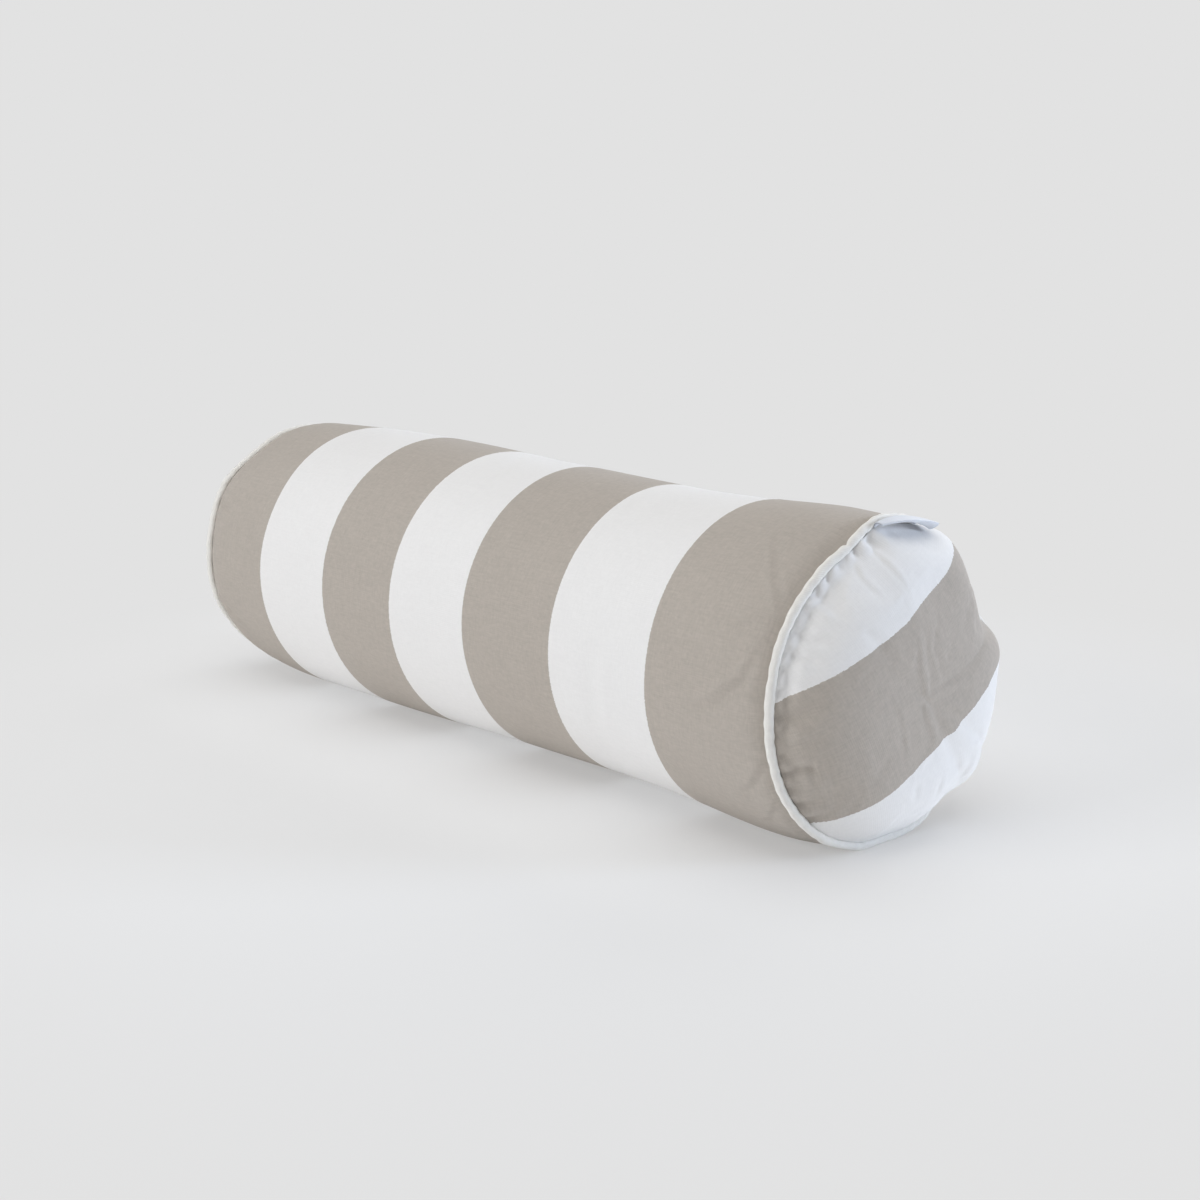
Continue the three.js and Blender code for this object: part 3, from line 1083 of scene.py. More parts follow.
@dataclass(frozen=True)
class FillingPressure:
    """A short cloth simulation, in which the filling swells one panel of cloth against its pinned seams.

    No point moves by more than the cap, in millimetres. The smoothing is how many rounds tell folds from
    swelling.
    """

    pressure: float = 4.0
    frames: int = 20
    cap: float = 0.65
    smoothing: int = 10

    def folds(self, points: Numbers, faces: Whole, flat: Numbers, pinned: Whole) -> Numbers:
        """Finds the small folds that the cloth takes, apart from its swelling as a whole.

        Args:
            points: The cloth's points, in the form that it starts from.
            faces: Its quads.
            flat: The same points as the cloth was cut.
            pinned: The numbers of the points that are sewn down.

        Returns:
            How far each point moves, in millimetres along each axis.
        """
        moved = self.simulate(points, faces, flat, pinned) - points
        edges = np.concatenate([faces[:, [0, 1]], faces[:, [1, 2]], faces[:, [2, 3]], faces[:, [3, 0]]])
        edges = np.unique(np.sort(edges, axis=1), axis=0)
        detail = moved - self.smoothed(moved, edges, self.smoothing)
        size = np.linalg.norm(detail, axis=1, keepdims=True)
        return detail * np.minimum(1, self.cap / np.maximum(size, 1e-6))

    def smoothed(self, values: Numbers, edges: Whole, rounds: int) -> Numbers:
        """Evens out values over neighbouring points, round after round.

        Args:
            values: One row for each point.
            edges: Pairs of neighbouring points.
            rounds: How many times to even them out.

        Returns:
            The evened values.
        """
        count = np.bincount(edges.ravel(), minlength=len(values))[:, None]
        for _ in range(rounds):
            total = np.zeros_like(values)
            np.add.at(total, edges[:, 0], values[edges[:, 1]])
            np.add.at(total, edges[:, 1], values[edges[:, 0]])
            values = (values + total / count) / 2
        return values

    def simulate(self, points: Numbers, faces: Whole, flat: Numbers, pinned: Whole) -> Numbers:
        """Runs the cloth modifier on a scratch object and reads the result.

        Args:
            points: The cloth's points, in the form that it starts from.
            faces: Its quads.
            flat: The same points as the cloth was cut.
            pinned: The numbers of the points that are sewn down.

        Returns:
            The points after the last frame.
        """
        mesh = bpy.data.meshes.new("swelling_cloth")
        mesh.from_pydata((points * MM).tolist(), [], faces.tolist())
        cloth = add_object("swelling_cloth", mesh)
        cloth.vertex_groups.new(name="sewn").add(pinned.tolist(), 1.0, "REPLACE")
        cloth.shape_key_add(name="Basis")
        cut = cloth.shape_key_add(name="cut")
        cut.data.foreach_set("co", (flat * MM).astype(np.float32).ravel())
        modifier = cloth.modifiers.new("filling", "CLOTH")
        settings = modifier.settings
        settings.vertex_group_mass = "sewn"
        settings.rest_shape_key = cut
        settings.use_pressure = True
        settings.uniform_pressure_force = self.pressure
        settings.effector_weights.gravity = 0
        modifier.point_cache.frame_start = 1
        modifier.point_cache.frame_end = self.frames
        scene = bpy.context.scene
        for step in range(1, self.frames + 1):
            scene.frame_set(step)
        shown = cloth.evaluated_get(bpy.context.evaluated_depsgraph_get()).to_mesh()
        result = np.zeros(len(points) * 3, np.float32)
        shown.vertices.foreach_get("co", result)
        bpy.data.objects.remove(cloth)
        scene.frame_set(1)
        return result.reshape(-1, 3).astype(float) / MM


# --- The pieces -----------------------------------------------------------------------------------------


def turned_outwards(
    points: Numbers, blocks: list[Whole], cloth: list[Numbers]
) -> tuple[list[Whole], list[Numbers]]:
    """Turns every face of a closed mesh over, with its cloth places, if they point inwards.

    Args:
        points: The mesh's points.
        blocks: Blocks of faces, all turning the same way.
        cloth: Cloth places of the faces' corners, block by block.

    Returns:
        The blocks and their cloth places.
    """
    volume = 0.0
    for block in blocks:
        for corner in range(1, block.shape[1] - 1):
            first, second, third = (points[block[:, place]] for place in (0, corner, corner + 1))
            volume += float(np.einsum("ij,ij->", first, np.cross(second, third)))
    if volume > 0:
        return blocks, cloth
    return [block[:, ::-1] for block in blocks], [places[:, ::-1] for places in cloth]


def ring_cloth(along: Numbers, around: Numbers) -> Numbers:
    """Finds the cloth places of the corners of a closed grid's quads, made in grid_faces order.

    Args:
        along: Place of each row along the cloth.
        around: Place of each column round the cloth, with the closing edge once more at the end.

    Returns:
        Two places for each of the four corners of each quad.
    """
    low, first = np.meshgrid(along[:-1], around[:-1], indexing="ij")
    high, last = np.meshgrid(along[1:], around[1:], indexing="ij")
    corners = [(low, first), (low, last), (high, last), (high, first)]
    return np.stack([np.stack(corner, axis=-1) for corner in corners], axis=-2).reshape(-1, 4, 2)


@dataclass
class FilledRoll:
    """The filled roll: the striped wrap, closed under both end panels by the casing.

    Behind each piping the cloth runs round two points of a notch. The crown's rings then give a share of
    the panel's radius, and how deep the casing lies below the panel there.
    """

    wrap: WrapForm
    near: PanelForm
    far: PanelForm
    finish: WovenCanvas
    notch_angles: tuple[float, ...] = (205.0, 235.0)
    notch_radius: float = 3.1
    crown_rings: tuple[tuple[float, float], ...] = (
        (1.0, 1.5),
        (0.97, 3.6),
        (0.93, 6.5),
        (0.87, 6.5),
        (0.76, 5.0),
        (0.6, 4.0),
        (0.36, 4.0),
    )
    casing_step: float = 6.0
    name: str = "filled_roll"
    fill: float = 0.9

    def end_rings(self, panel: PanelForm, angles: Numbers) -> list[Numbers]:
        """Makes the rings from behind one piping to the middle of the casing under its panel.

        Args:
            panel: The end panel that covers the casing.
            angles: The columns' angles.

        Returns:
            The rings, from the seam inwards.
        """
        rings = []
        for notch in self.notch_angles:
            out = self.notch_radius * math.cos(math.radians(notch))
            up = self.notch_radius * math.sin(math.radians(notch))
            rings.append(panel.seam.beside(angles, out, up))
        for share, depth in self.crown_rings:
            rings.append(panel.points(np.full(len(angles), share), angles, depth))
        return rings

    def build(self) -> bpy.types.Object:
        """Builds the roll as one closed mesh.

        Returns:
            The roll.
        """
        angles = self.wrap.angles()
        far = self.end_rings(self.far, angles)[::-1]
        near = self.end_rings(self.near, angles)
        rings = np.concatenate([far, self.wrap.points(), near])
        count, columns = rings.shape[:2]
        rows = self.wrap.row_places()
        before = rows[0] - self.casing_step * np.arange(len(far), 0, -1)
        after = rows[-1] + self.casing_step * np.arange(1, len(near) + 1)
        along = np.concatenate([before, rows, after])
        around = np.linspace(0, 2 * math.pi * MEAN_RADIUS, columns + 1)
        blocks = [grid_faces(count, columns, closed=True)]
        cloth = [ring_cloth(along, around)]
        points = [rings.reshape(-1, 3)]
        column = np.arange(columns)
        beside = (column + 1) % columns
        for pole, row in enumerate((0, count - 1)):
            middle = np.full(columns, count * columns + pole)
            first, last = row * columns + column, row * columns + beside
            pair = [last, first] if row == 0 else [first, last]
            blocks.append(np.stack([middle, *pair], axis=-1))
            fan = np.stack([np.full(columns, along[row]), around[:-1]], axis=-1)
            cloth.append(np.repeat(fan[:, None], 3, axis=1))
            points.append(rings[row].mean(axis=0, keepdims=True))
        joined = np.concatenate(points)
        return make_piece(self.name, joined, *turned_outwards(joined, blocks, cloth))

    def dress(self, piece: bpy.types.Object) -> None:
        """Gives the roll its canvas and tells the frame what it is.

        Args:
            piece: The roll.
        """
        piece.data.materials.append(self.finish.make())
        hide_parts("bolster")
        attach(piece, "root")


@dataclass
class EndPanel:
    """One round end panel of canvas, sewn to the wrap all round with the piping between."""

    name: str
    node: str
    form: PanelForm
    finish: WovenCanvas
    band_angle: float
    pull: float
    cells: int
    thickness: float = 1.0
    sewn_share: float = 0.9999

    def disc(self) -> Numbers:
        """Places the panel's grid on a disc of radius 1, with its outermost points evenly round the rim.

        Returns:
            The points, row after row.
        """
        line = np.linspace(-1, 1, self.cells + 1)
        a, b = np.meshgrid(line, line, indexing="ij")
        # Each square ring of the grid becomes a round one, with its points at even angles.
        wide = np.abs(a) > np.abs(b)
        radius = np.where(wide, a, b)
        safe = np.where(radius == 0, 1, radius)
        turn = np.where(wide, math.pi / 4 * b / safe, math.pi / 2 - math.pi / 4 * a / safe)
        return np.stack([radius * np.cos(turn), radius * np.sin(turn)], axis=-1).reshape(-1, 2)

    def build(self, filling: FillingPressure | None) -> bpy.types.Object:
        """Builds the panel as one closed sheet.


        Returns:
            The panel.
        """
        disc = self.disc()
        flat_share = np.minimum(np.linalg.norm(disc, axis=1), 1)
        angles = np.degrees(np.arctan2(disc[:, 1], disc[:, 0])) % 360
        share = self.form.share_of(flat_share)
        cloth = disc * self.form.flat_radius()
        points = self.form.points(share, angles, self.form.sink(angles, cloth))
        faces = grid_faces(self.cells + 1, self.cells + 1, closed=False)
        if self.form.seam.end_sign < 0:
            faces = faces[:, ::-1]
        if filling is not None:
            pinned = np.flatnonzero(flat_share > self.sewn_share)
            plain = self.form.points(share, angles, 0.0)
            seam = self.form.seam
            cut = np.stack([np.full(len(cloth), seam.mean_x * seam.end_sign), *cloth.T], axis=-1)
            points = points + filling.folds(plain, faces, cut, pinned)
        piece = make_piece(self.name, points, [faces], [self.weave_places(cloth)[faces]])
        thicken_and_smooth(piece, self.thickness, -1.0)
        return piece

    def weave_places(self, cloth: Numbers) -> Numbers:
        """Turns places on the flat disc so that the second direction runs along the canvas's band.

        Sewing pulls the cloth more on one side, so the band is a little wider at one end than at the
        other.

        Args:
            cloth: Places on the flat disc.

        Returns:
            Places across and along the band.
        """
        turn = math.radians(self.band_angle)
        along = cloth @ np.array([math.cos(turn), math.sin(turn)])
        across = cloth @ np.array([-math.sin(turn), math.cos(turn)])
        return np.stack([across / (1 - self.pull * along / self.form.flat_radius()), along], axis=-1)

    def dress(self, piece: bpy.types.Object, roll: bpy.types.Object) -> None:
        """Gives the panel its canvas and tells the frame what it is.

        Args:
            piece: The panel.
            roll: The filled roll that it lies on. It is not used.
        """
        piece.data.materials.append(self.finish.make())
        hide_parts(self.node)
        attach(piece, "root")
        width = 2 * self.form.flat_radius() * MM


@dataclass
class Piping:
    """Cord piping in one seam: bias cloth rolled over a soft cord, with its two ends joined.

    Lumps, the join's swell and the nick's depth are shares of the radius.
    """

    name: str
    node: str
    seam: Seam
    finish: BiasCloth
    join_angle: float
    seed: int
    radius: float = PIPING_RADIUS
    stations: int = 480
    sides: int = 18
    waver: float = 0.36
    lumps: float = 0.075
    join_length: float = 9.0
    join_swell: float = 0.07
    join_dip: float = 0.5
    nick_length: float = 1.8
    nick_depth: float = 0.28

    def build(self) -> bpy.types.Object:
        """Builds the piping as one closed tube.

        Returns:
            The piping.
        """
        draw = np.random.default_rng(self.seed)
        angles = 360 * np.arange(self.stations) / self.stations
        waves = [self.waves(draw, angles) for _ in range(3)]
        along = np.radians(turn_between(angles, self.join_angle)) * self.seam.mean_radius
        overlap = bump(along, self.join_length / 2)
        nick = bump(along + self.join_length / 2, self.nick_length)
        swell = self.lumps * waves[0] + self.join_swell * overlap - self.nick_depth * nick
        radius = self.radius * (1 + swell)
        # The nick shows on the side towards the wrap: the other side stays against the panel.
        sink = self.radius * self.nick_depth * nick / math.sqrt(2)
        rings = []
        for turn in 2 * math.pi * np.arange(self.sides) / self.sides:
            out = radius * math.cos(turn) + self.waver * waves[1] + sink
            up = radius * math.sin(turn) + self.waver * waves[2] - self.join_dip * overlap - sink
            rings.append(self.seam.beside(angles, out, up))
        points = np.array(rings).reshape(-1, 3)
        quads = grid_faces(self.sides + 1, self.stations, closed=True) % len(points)
        girth = np.linspace(0, 2 * math.pi * self.radius, self.sides + 1)
        length = np.linspace(0, 2 * math.pi * self.seam.mean_radius, self.stations + 1)
        cloth = ring_cloth(girth, length)[..., ::-1]
        return make_piece(self.name, points, *turned_outwards(points, [quads], [cloth]))

    def waves(self, draw: np.random.Generator, angles: Numbers) -> Numbers:
        """Adds up some waves of random strength that close on themselves round the ring.

        Args:
            draw: Where the random numbers come from.
            angles: Angles round the roll.

        Returns:
            The waves' sum at each angle.
        """
        total = np.zeros(len(angles))
        counts = (7, 13, 22, 37, 58, 83)
        for count in counts:
            phase = draw.uniform(0, 2 * math.pi)
            total += draw.uniform(0.3, 1.0) * np.sin(np.radians(angles) * count + phase)
        return total / math.sqrt(len(counts))

    def dress(self, piece: bpy.types.Object) -> None:
        """Gives the piping its cloth and tells the frame what it is.

        Args:
            piece: The piping.
        """
        piece.data.materials.append(self.finish.make())
        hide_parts(self.node)
        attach(piece, "root")


@dataclass
class FoldedLabel:
    """A blank strip of tape, folded along its middle and sewn lengthwise into the top of the near seam.

    Each row of its way gives a length along the tape, and how far out and up its middle line is there.
    Its two halves gape by the half gap, which grows from the first value at the left end to the second at
    the right. At the right end the upper half reaches further out and the lower one is set back, and the
    left end is shorter.
    """

    seam: Seam
    finish: WovenTape
    middle_angle: float = 85.0
    half_width: float = 23.0
    way: tuple[tuple[float, float, float], ...] = (
        (0.0, 2.9, -0.8),
        (3.5, 5.6, 1.5),
        (8.0, 10.0, 2.4),
        (12.5, 14.4, 2.2),
        (17.0, 18.8, 1.6),
    )
    tape_length: float = 38.0
    half_gap: tuple[float, float] = (0.4, 2.7)
    set_back: float = 5.0
    tip_reach: float = 1.8
    droop: float = 0.6
    skew: float = 0.62
    thickness: float = 0.4
    stations: int = 14
    fold_steps: int = 5
    columns: int = 41
    name: str = "folded_label"

    def section(self, across: float) -> tuple[Numbers, Numbers]:
        """Draws the tape's middle line out to the fold and back, at one place along the label.

        Args:
            across: The place along the label, from -1 at its right end to 1.

        Returns:
            Its points, outwards and upwards from the middle of the piping, and as a share how far out of
            the seam each is.
        """
        table = np.array(self.way)
        line = smooth_curve(table[:, 0], table[:, 1:], np.linspace(0, table[-1, 0], self.stations))
        along = np.gradient(line, axis=0)
        along /= np.linalg.norm(along, axis=1, keepdims=True)
        up = np.stack([-along[:, 1], along[:, 0]], axis=-1)
        share = np.linspace(0, 1, self.stations)
        # The right end gapes and reaches out, and the left end is drawn back to the seam.
        open_side = (1 - across) / 2
        half_gap = self.half_gap[0] + (self.half_gap[1] - self.half_gap[0]) * open_side**2.2
        line[:, 0] += share**2 * self.tip_reach * open_side**3
        line[:, 0] -= self.skew * max(across, 0.0) ** 1.5 * (line[:, 0] - line[0, 0])
        drawn_in = self.set_back * open_side**2
        # The fold is half an oval, from the end of the upper half down to the end of the lower one.
        turns = np.linspace(math.pi / 2, -math.pi / 2, self.fold_steps + 2)[1:-1, None]
        outwards = 0.5 * half_gap * np.cos(turns) - drawn_in * (1 - np.sin(turns)) / 2
        fold = line[-1] + outwards * along[-1] - half_gap * (1 - np.sin(turns)) * up[-1]
        spread = 2 * self.half_gap[0] + 2 * (half_gap - self.half_gap[0]) * share**1.4
        lower = (line - spread[:, None] * up - (drawn_in * share)[:, None] * along)[::-1]
        shares = np.concatenate([share, np.ones(self.fold_steps), share[::-1]])
        return np.concatenate([line, fold, lower]), shares

    def build(self) -> bpy.types.Object:
        """Builds the label as one folded sheet.

        Returns:
            The label.
        """
        columns = []
        cloth = []
        for across in np.linspace(-1, 1, self.columns):
            section, shares = self.section(across)
            lengths = np.concatenate([[0], np.cumsum(np.linalg.norm(np.diff(section, axis=0), axis=1))])
            lift = -self.droop * shares**2 * (1 - across**2)
            angle = self.middle_angle + math.degrees(across * self.half_width / self.seam.mean_radius)
            angles = np.full(len(section), angle)
            columns.append(self.seam.beside(angles, section[:, 0], section[:, 1] + lift))
            cloth.append(np.stack([np.full(len(section), across * self.half_width), lengths], axis=-1))
        rows = len(shares)
        faces = grid_faces(self.columns, rows, closed=False)
        piece = make_piece(self.name, np.concatenate(columns), [faces], [np.concatenate(cloth)[faces]])
        thicken_and_smooth(piece, self.thickness, 0.0)
        return piece

    def dress(self, piece: bpy.types.Object, piping: bpy.types.Object) -> None:
        """Gives the label its tape and tells the frame what it is.

        Args:
            piece: The label.
            piping: The piping that it lies on. It is not used.
        """
        piece.data.materials.append(self.finish.make())
        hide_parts("label")
        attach(piece, "root")


@dataclass
class SeamStitches:
    """The row of stitches that shows beside the piping, where the panel is sewn down."""

    name: str
    form: PanelForm
    finish: SewingThread
    share: float = 0.988
    path_points: int = 720
    pitch: float = 3.0
    length: float = 2.1
    radius: float = 0.2
    lean: float = 6.0
    clearance: float = 0.05
    seed: int = 11

    def path(self) -> tuple[Numbers, Numbers]:
        """Finds the line that the stitches follow.

        Returns:
            Its points, and the direction away from the cloth at each.
        """
        angles = 360 * np.arange(self.path_points) / self.path_points
        flat = np.full(len(angles), self.share)
        share = self.form.share_of(flat)
        turn = np.radians(angles)
        cloth = np.stack([np.cos(turn), np.sin(turn)], axis=-1) * self.form.flat_radius() * self.share
        sink = self.form.sink(angles, cloth)
        points = self.form.points(share, angles, sink - self.clearance)
        away = self.form.points(share, angles, sink - (1 + self.clearance)) - points
        return points, away / np.linalg.norm(away, axis=1, keepdims=True)

    def tree(self) -> bpy.types.NodeTree:
        """Builds the node tree that lays one small stitch after another along a line.

        Returns:
            The node tree.
        """
        tree = bpy.data.node_groups.new(f"{self.name}_layout", "GeometryNodeTree")
        face = tree.interface
        face.new_socket("Line", in_out="INPUT", socket_type="NodeSocketGeometry")
        for name in ("Pitch", "Stitch length", "Thread radius", "Lean"):
            face.new_socket(name, in_out="INPUT", socket_type="NodeSocketFloat")
        face.new_socket("Seed", in_out="INPUT", socket_type="NodeSocketInt")
        face.new_socket("Thread", in_out="INPUT", socket_type="NodeSocketMaterial")
        face.new_socket("Stitches", in_out="OUTPUT", socket_type="NodeSocketGeometry")
        given = tree.nodes.new("NodeGroupInput").outputs
        curve = add_node(tree, "GeometryNodeMeshToCurve", {"Mesh": given["Line"]}).outputs["Curve"]
        spaced = add_node(
            tree, "GeometryNodeResampleCurve", {"Curve": curve, "Length": given["Pitch"]}, mode="LENGTH"
        ).outputs["Curve"]
        tangent = add_node(tree, "GeometryNodeInputTangent", {}).outputs["Tangent"]
        away = add_node(
            tree, "GeometryNodeInputNamedAttribute", {"Name": "away"}, data_type="FLOAT_VECTOR"
        ).outputs["Attribute"]
        least = add_node(
            tree, "ShaderNodeMath", {0: given["Lean"], 1: -1.0}, operation="MULTIPLY"
        ).outputs[0]
        lean = add_node(
            tree,
            "FunctionNodeRandomValue",
            {2: least, 3: given["Lean"], "Seed": given["Seed"]},
            data_type="FLOAT",
        ).outputs[1]
        leaned = add_node(
            tree,
            "ShaderNodeVectorRotate",
            {"Vector": tangent, "Axis": away, "Angle": lean},
            rotation_type="AXIS_ANGLE",
        ).outputs["Vector"]
        turned = add_node(
            tree,
            "FunctionNodeAxesToRotation",
            {0: leaned, 1: away},
            primary_axis="X",
            secondary_axis="Z",
        ).outputs["Rotation"]
        ball = add_node(
            tree, "GeometryNodeMeshUVSphere", {"Segments": 8, "Rings": 6, "Radius": 1.0}
        ).outputs["Mesh"]
        half = add_node(
            tree, "ShaderNodeMath", {0: given["Stitch length"], 1: 0.5}, operation="MULTIPLY"
        ).outputs[0]
        scale = add_node(
            tree, "ShaderNodeCombineXYZ", {0: half, 1: given["Thread radius"], 2: given["Thread radius"]}
        ).outputs[0]
        stitch = add_node(
            tree, "GeometryNodeTransform", {"Geometry": ball, "Scale": scale}
        ).outputs["Geometry"]
        laid = add_node(
            tree, "GeometryNodeInstanceOnPoints", {"Points": spaced, "Instance": stitch, "Rotation": turned}
        ).outputs["Instances"]
        real = add_node(tree, "GeometryNodeRealizeInstances", {"Geometry": laid}).outputs["Geometry"]
        smooth = add_node(tree, "GeometryNodeSetShadeSmooth", {"Geometry": real}).outputs["Geometry"]
        coloured = add_node(
            tree, "GeometryNodeSetMaterial", {"Geometry": smooth, "Material": given["Thread"]}
        ).outputs["Geometry"]
        add_node(tree, "NodeGroupOutput", {"Stitches": coloured})
        return tree

    def build(self) -> bpy.types.Object:
        """Lays the stitches and turns them into a plain mesh.

        Returns:
            The stitches.
        """
        points, away = self.path()
        line = bpy.data.meshes.new(f"{self.name}_line")
        count = len(points)
        line.from_pydata((points * MM).tolist(), [(i, (i + 1) % count) for i in range(count)], [])
        directions = line.attributes.new("away", "FLOAT_VECTOR", "POINT")
        directions.data.foreach_set("vector", away.astype(np.float32).ravel())
        guide = add_object(f"{self.name}_line", line)
        tree = self.tree()
        modifier = guide.modifiers.new("stitches", "NODES")
        modifier.node_group = tree
        sizes = {
            "Pitch": self.pitch * MM,
            "Stitch length": self.length * MM,
            "Thread radius": self.radius * MM,
            "Lean": math.radians(self.lean),
            "Seed": self.seed,
            "Thread": self.finish.make(),
        }
        for socket in tree.interface.items_tree:
            if socket.in_out == "INPUT" and socket.name in sizes:
                modifier[socket.identifier] = sizes[socket.name]
        depsgraph = bpy.context.evaluated_depsgraph_get()
        mesh = bpy.data.meshes.new_from_object(guide.evaluated_get(depsgraph), depsgraph=depsgraph)
        guide.modifiers.remove(modifier)
        bpy.data.objects.remove(guide)
        mesh.name = self.name
        return add_object(self.name, mesh)

    def dress(self, piece: bpy.types.Object) -> None:
        """Tells the frame what the stitches are. The node tree has set their thread."""
        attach(piece, "root")


# --- The studio -----------------------------------------------------------------------------------------


@dataclass(frozen=True)
class SoftBox:
    """One large soft lamp, aimed at the roll. Its place and sizes are in metres."""

    name: str
    place: tuple[float, float, float]
    size: float
    power: float
    colour: str
    aim_at: tuple[float, float, float] = (0.0, 0.0, 0.1)

    def build(self) -> None:
        """Hangs the lamp."""
        lamp = bpy.data.lights.new(self.name, "AREA")
        lamp.shape = "SQUARE"
        lamp.size = self.size
        lamp.energy = self.power
        lamp.color = linear(self.colour)[:3]
        holder = add_object(self.name, lamp)
        holder.location = self.place
        holder.visible_camera = False
        aim = Vector(self.aim_at) - Vector(self.place)
        holder.rotation_euler = aim.to_track_quat("-Z", "Y").to_euler()


@dataclass
class Studio:
    """The plain pale studio: floor, backdrop, soft lamps and camera.

    Sizes are in metres, angles in degrees, and the lens and its sensor in millimetres.
    """

    lamps: tuple[SoftBox, ...]
    backdrop: str = "#e2e2e2"
    sky: str = "#ffffff"
    sky_strength: float = 0.03
    floor_half: float = 6.0
    floor_drop: float = 0.0002
    target: tuple[float, float, float] = (0.0571, 0.0, 0.1071)
    distance: float = 1.2849
    azimuth: float = 48.411
    elevation: float = 12.678
    lens: float = 56.24
    sensor_width: float = 36.0

    def build_floor(self) -> None:
        """Lays the floor, a hair below the roll."""
        half = self.floor_half / MM
        low = -self.floor_drop / MM
        points = np.array([[-half, -half, low], [half, -half, low], [half, half, low], [-half, half, low]])
        floor = make_piece("studio_floor", points, [np.array([[0, 1, 2, 3]])], [points[None, :, :2]])
        floor.data.materials.append(StudioFloor().make())

    def build_world(self) -> None:
        """Lights the room evenly, and shows the camera, mirrors and glass the plain backdrop."""
        world = bpy.data.worlds.new("studio_backdrop")
        world.use_nodes = True
        tree = world.node_tree
        tree.nodes.clear()
        path = add_node(tree, "ShaderNodeLightPath", {}).outputs
        seen = path["Is Camera Ray"]
        for ray in ("Is Glossy Ray", "Is Transmission Ray"):
            seen = add_node(
                tree, "ShaderNodeMath", {0: seen, 1: path[ray]}, operation="MAXIMUM"
            ).outputs[0]
        light = add_node(
            tree, "ShaderNodeBackground", {"Color": linear(self.sky), "Strength": self.sky_strength}
        ).outputs[0]
        plain = add_node(
            tree, "ShaderNodeBackground", {"Color": linear(self.backdrop), "Strength": 1.0}
        ).outputs[0]
        mixed = add_node(tree, "ShaderNodeMixShader", {0: seen, 1: light, 2: plain}).outputs[0]
        add_node(tree, "ShaderNodeOutputWorld", {"Surface": mixed})
        bpy.context.scene.world = world

    def build_camera(self) -> None:
        """Sets up the scene's own camera."""
        turn, rise = math.radians(self.azimuth), math.radians(self.elevation)
        back = Vector((math.sin(turn) * math.cos(rise), -math.cos(turn) * math.cos(rise), math.sin(rise)))
        data = bpy.data.cameras.new("studio_camera")
        data.lens = self.lens
        data.sensor_width = self.sensor_width
        camera = add_object("studio_camera", data)
        camera.location = Vector(self.target) + back * self.distance
        camera.rotation_euler = (-back).to_track_quat("-Z", "Y").to_euler()
        bpy.context.scene.camera = camera

    def build(self) -> None:
        """Builds the whole studio."""
        bpy.context.scene.view_settings.view_transform = "Standard"
        self.build_floor()
        self.build_world()
        for lamp in self.lamps:
            lamp.build()
        self.build_camera()


# --- This bolster's own tables --------------------------------------------------------------------------


NEAR_SEAM = Seam(
    end_sign=1,
    rows=(
        (0, 311.5, 97.8), (9, 310, 97.6), (20, 304, 93.8), (44, 298.5, 96.4), (62, 298, 99.2),
        (78, 300, 99.8), (92, 304, 100.4), (104, 308, 98.6), (109, 308.5, 96.6), (126, 308, 96.0),
        (150, 306, 95.7), (180, 306.5, 95.7), (210, 307, 95.8), (240, 309, 95.6), (270, 310, 94.8),
        (292, 310.5, 95.4), (306, 308.5, 96.6), (317, 312.0, 101.4), (328, 312.5, 99.4), (342, 313.5, 98.4),
    ),
)
FAR_SEAM = Seam(
    end_sign=-1,
    rows=(
        (0, -305, 94.0), (40, -303, 94.4), (80, -304, 94.0), (104, -303, 93.8), (123, -299.5, 93.6),
        (143, -305, 94.4), (170, -303, 94.2), (205, -305, 94.4), (235, -303, 94.0), (270, -304, 94.2),
        (310, -306, 94.4), (335, -303, 94.0),
    ),
)
WRAP_PROFILE = (
    (-294, 97.2), (-286, 99.2), (-270, 100.2), (-240, 101.4), (-200, 102.8), (-160, 103.2), (-110, 102.9),
    (-60, 101.6), (-10, 99.8), (40, 99.0), (90, 98.0), (140, 97.3), (180, 97.9), (210, 99.2), (240, 100.8),
    (266, 101.6), (284, 101.0), (296, 99.2),
)
WRAP_DENTS = (
    (-228, 150, 1.6, 26, 20), (30, 205, 1.4, 30, 26), (246, 168, 1.5, 34, 15), (120, 40, 1.8, 60, 22),
    (-90, 350, 1.7, 46, 24), (-245, 238, -2.8, 48, 30), (284, 86, 1.6, 20, 22),
)
NEAR_DENTS = (
    (114, 0.86, 2.6, 12, 0.1), (84, 0.88, -4.0, 15, 0.12), (145, 0.91, 3.4, 32, 0.07),
    (160, 0.955, 6.5, 26, 0.03), (124, 0.95, 5.0, 20, 0.035), (222, 0.84, 1.8, 18, 0.12),
    (300, 0.86, 1.6, 16, 0.12), (62, 0.84, -7.0, 26, 0.2), (5, 0.88, -2.0, 10, 0.12),
    (19, 0.9, 2.4, 6, 0.1),
)
NEAR_SWELLS = ((60, 13.0, 14), (38, 4.0, 12), (12, 8.0, 8), (314, 7.0, 16))
FAR_SWELLS = ((40, 4.0, 60), (200, 4.0, 60))
# The radius of the discs that the creases below are placed on, within 2 mm of the flat panels' own.
NEAR_FLAT = 104.0
FAR_FLAT = 104.0
PUCKER_START = 0.995

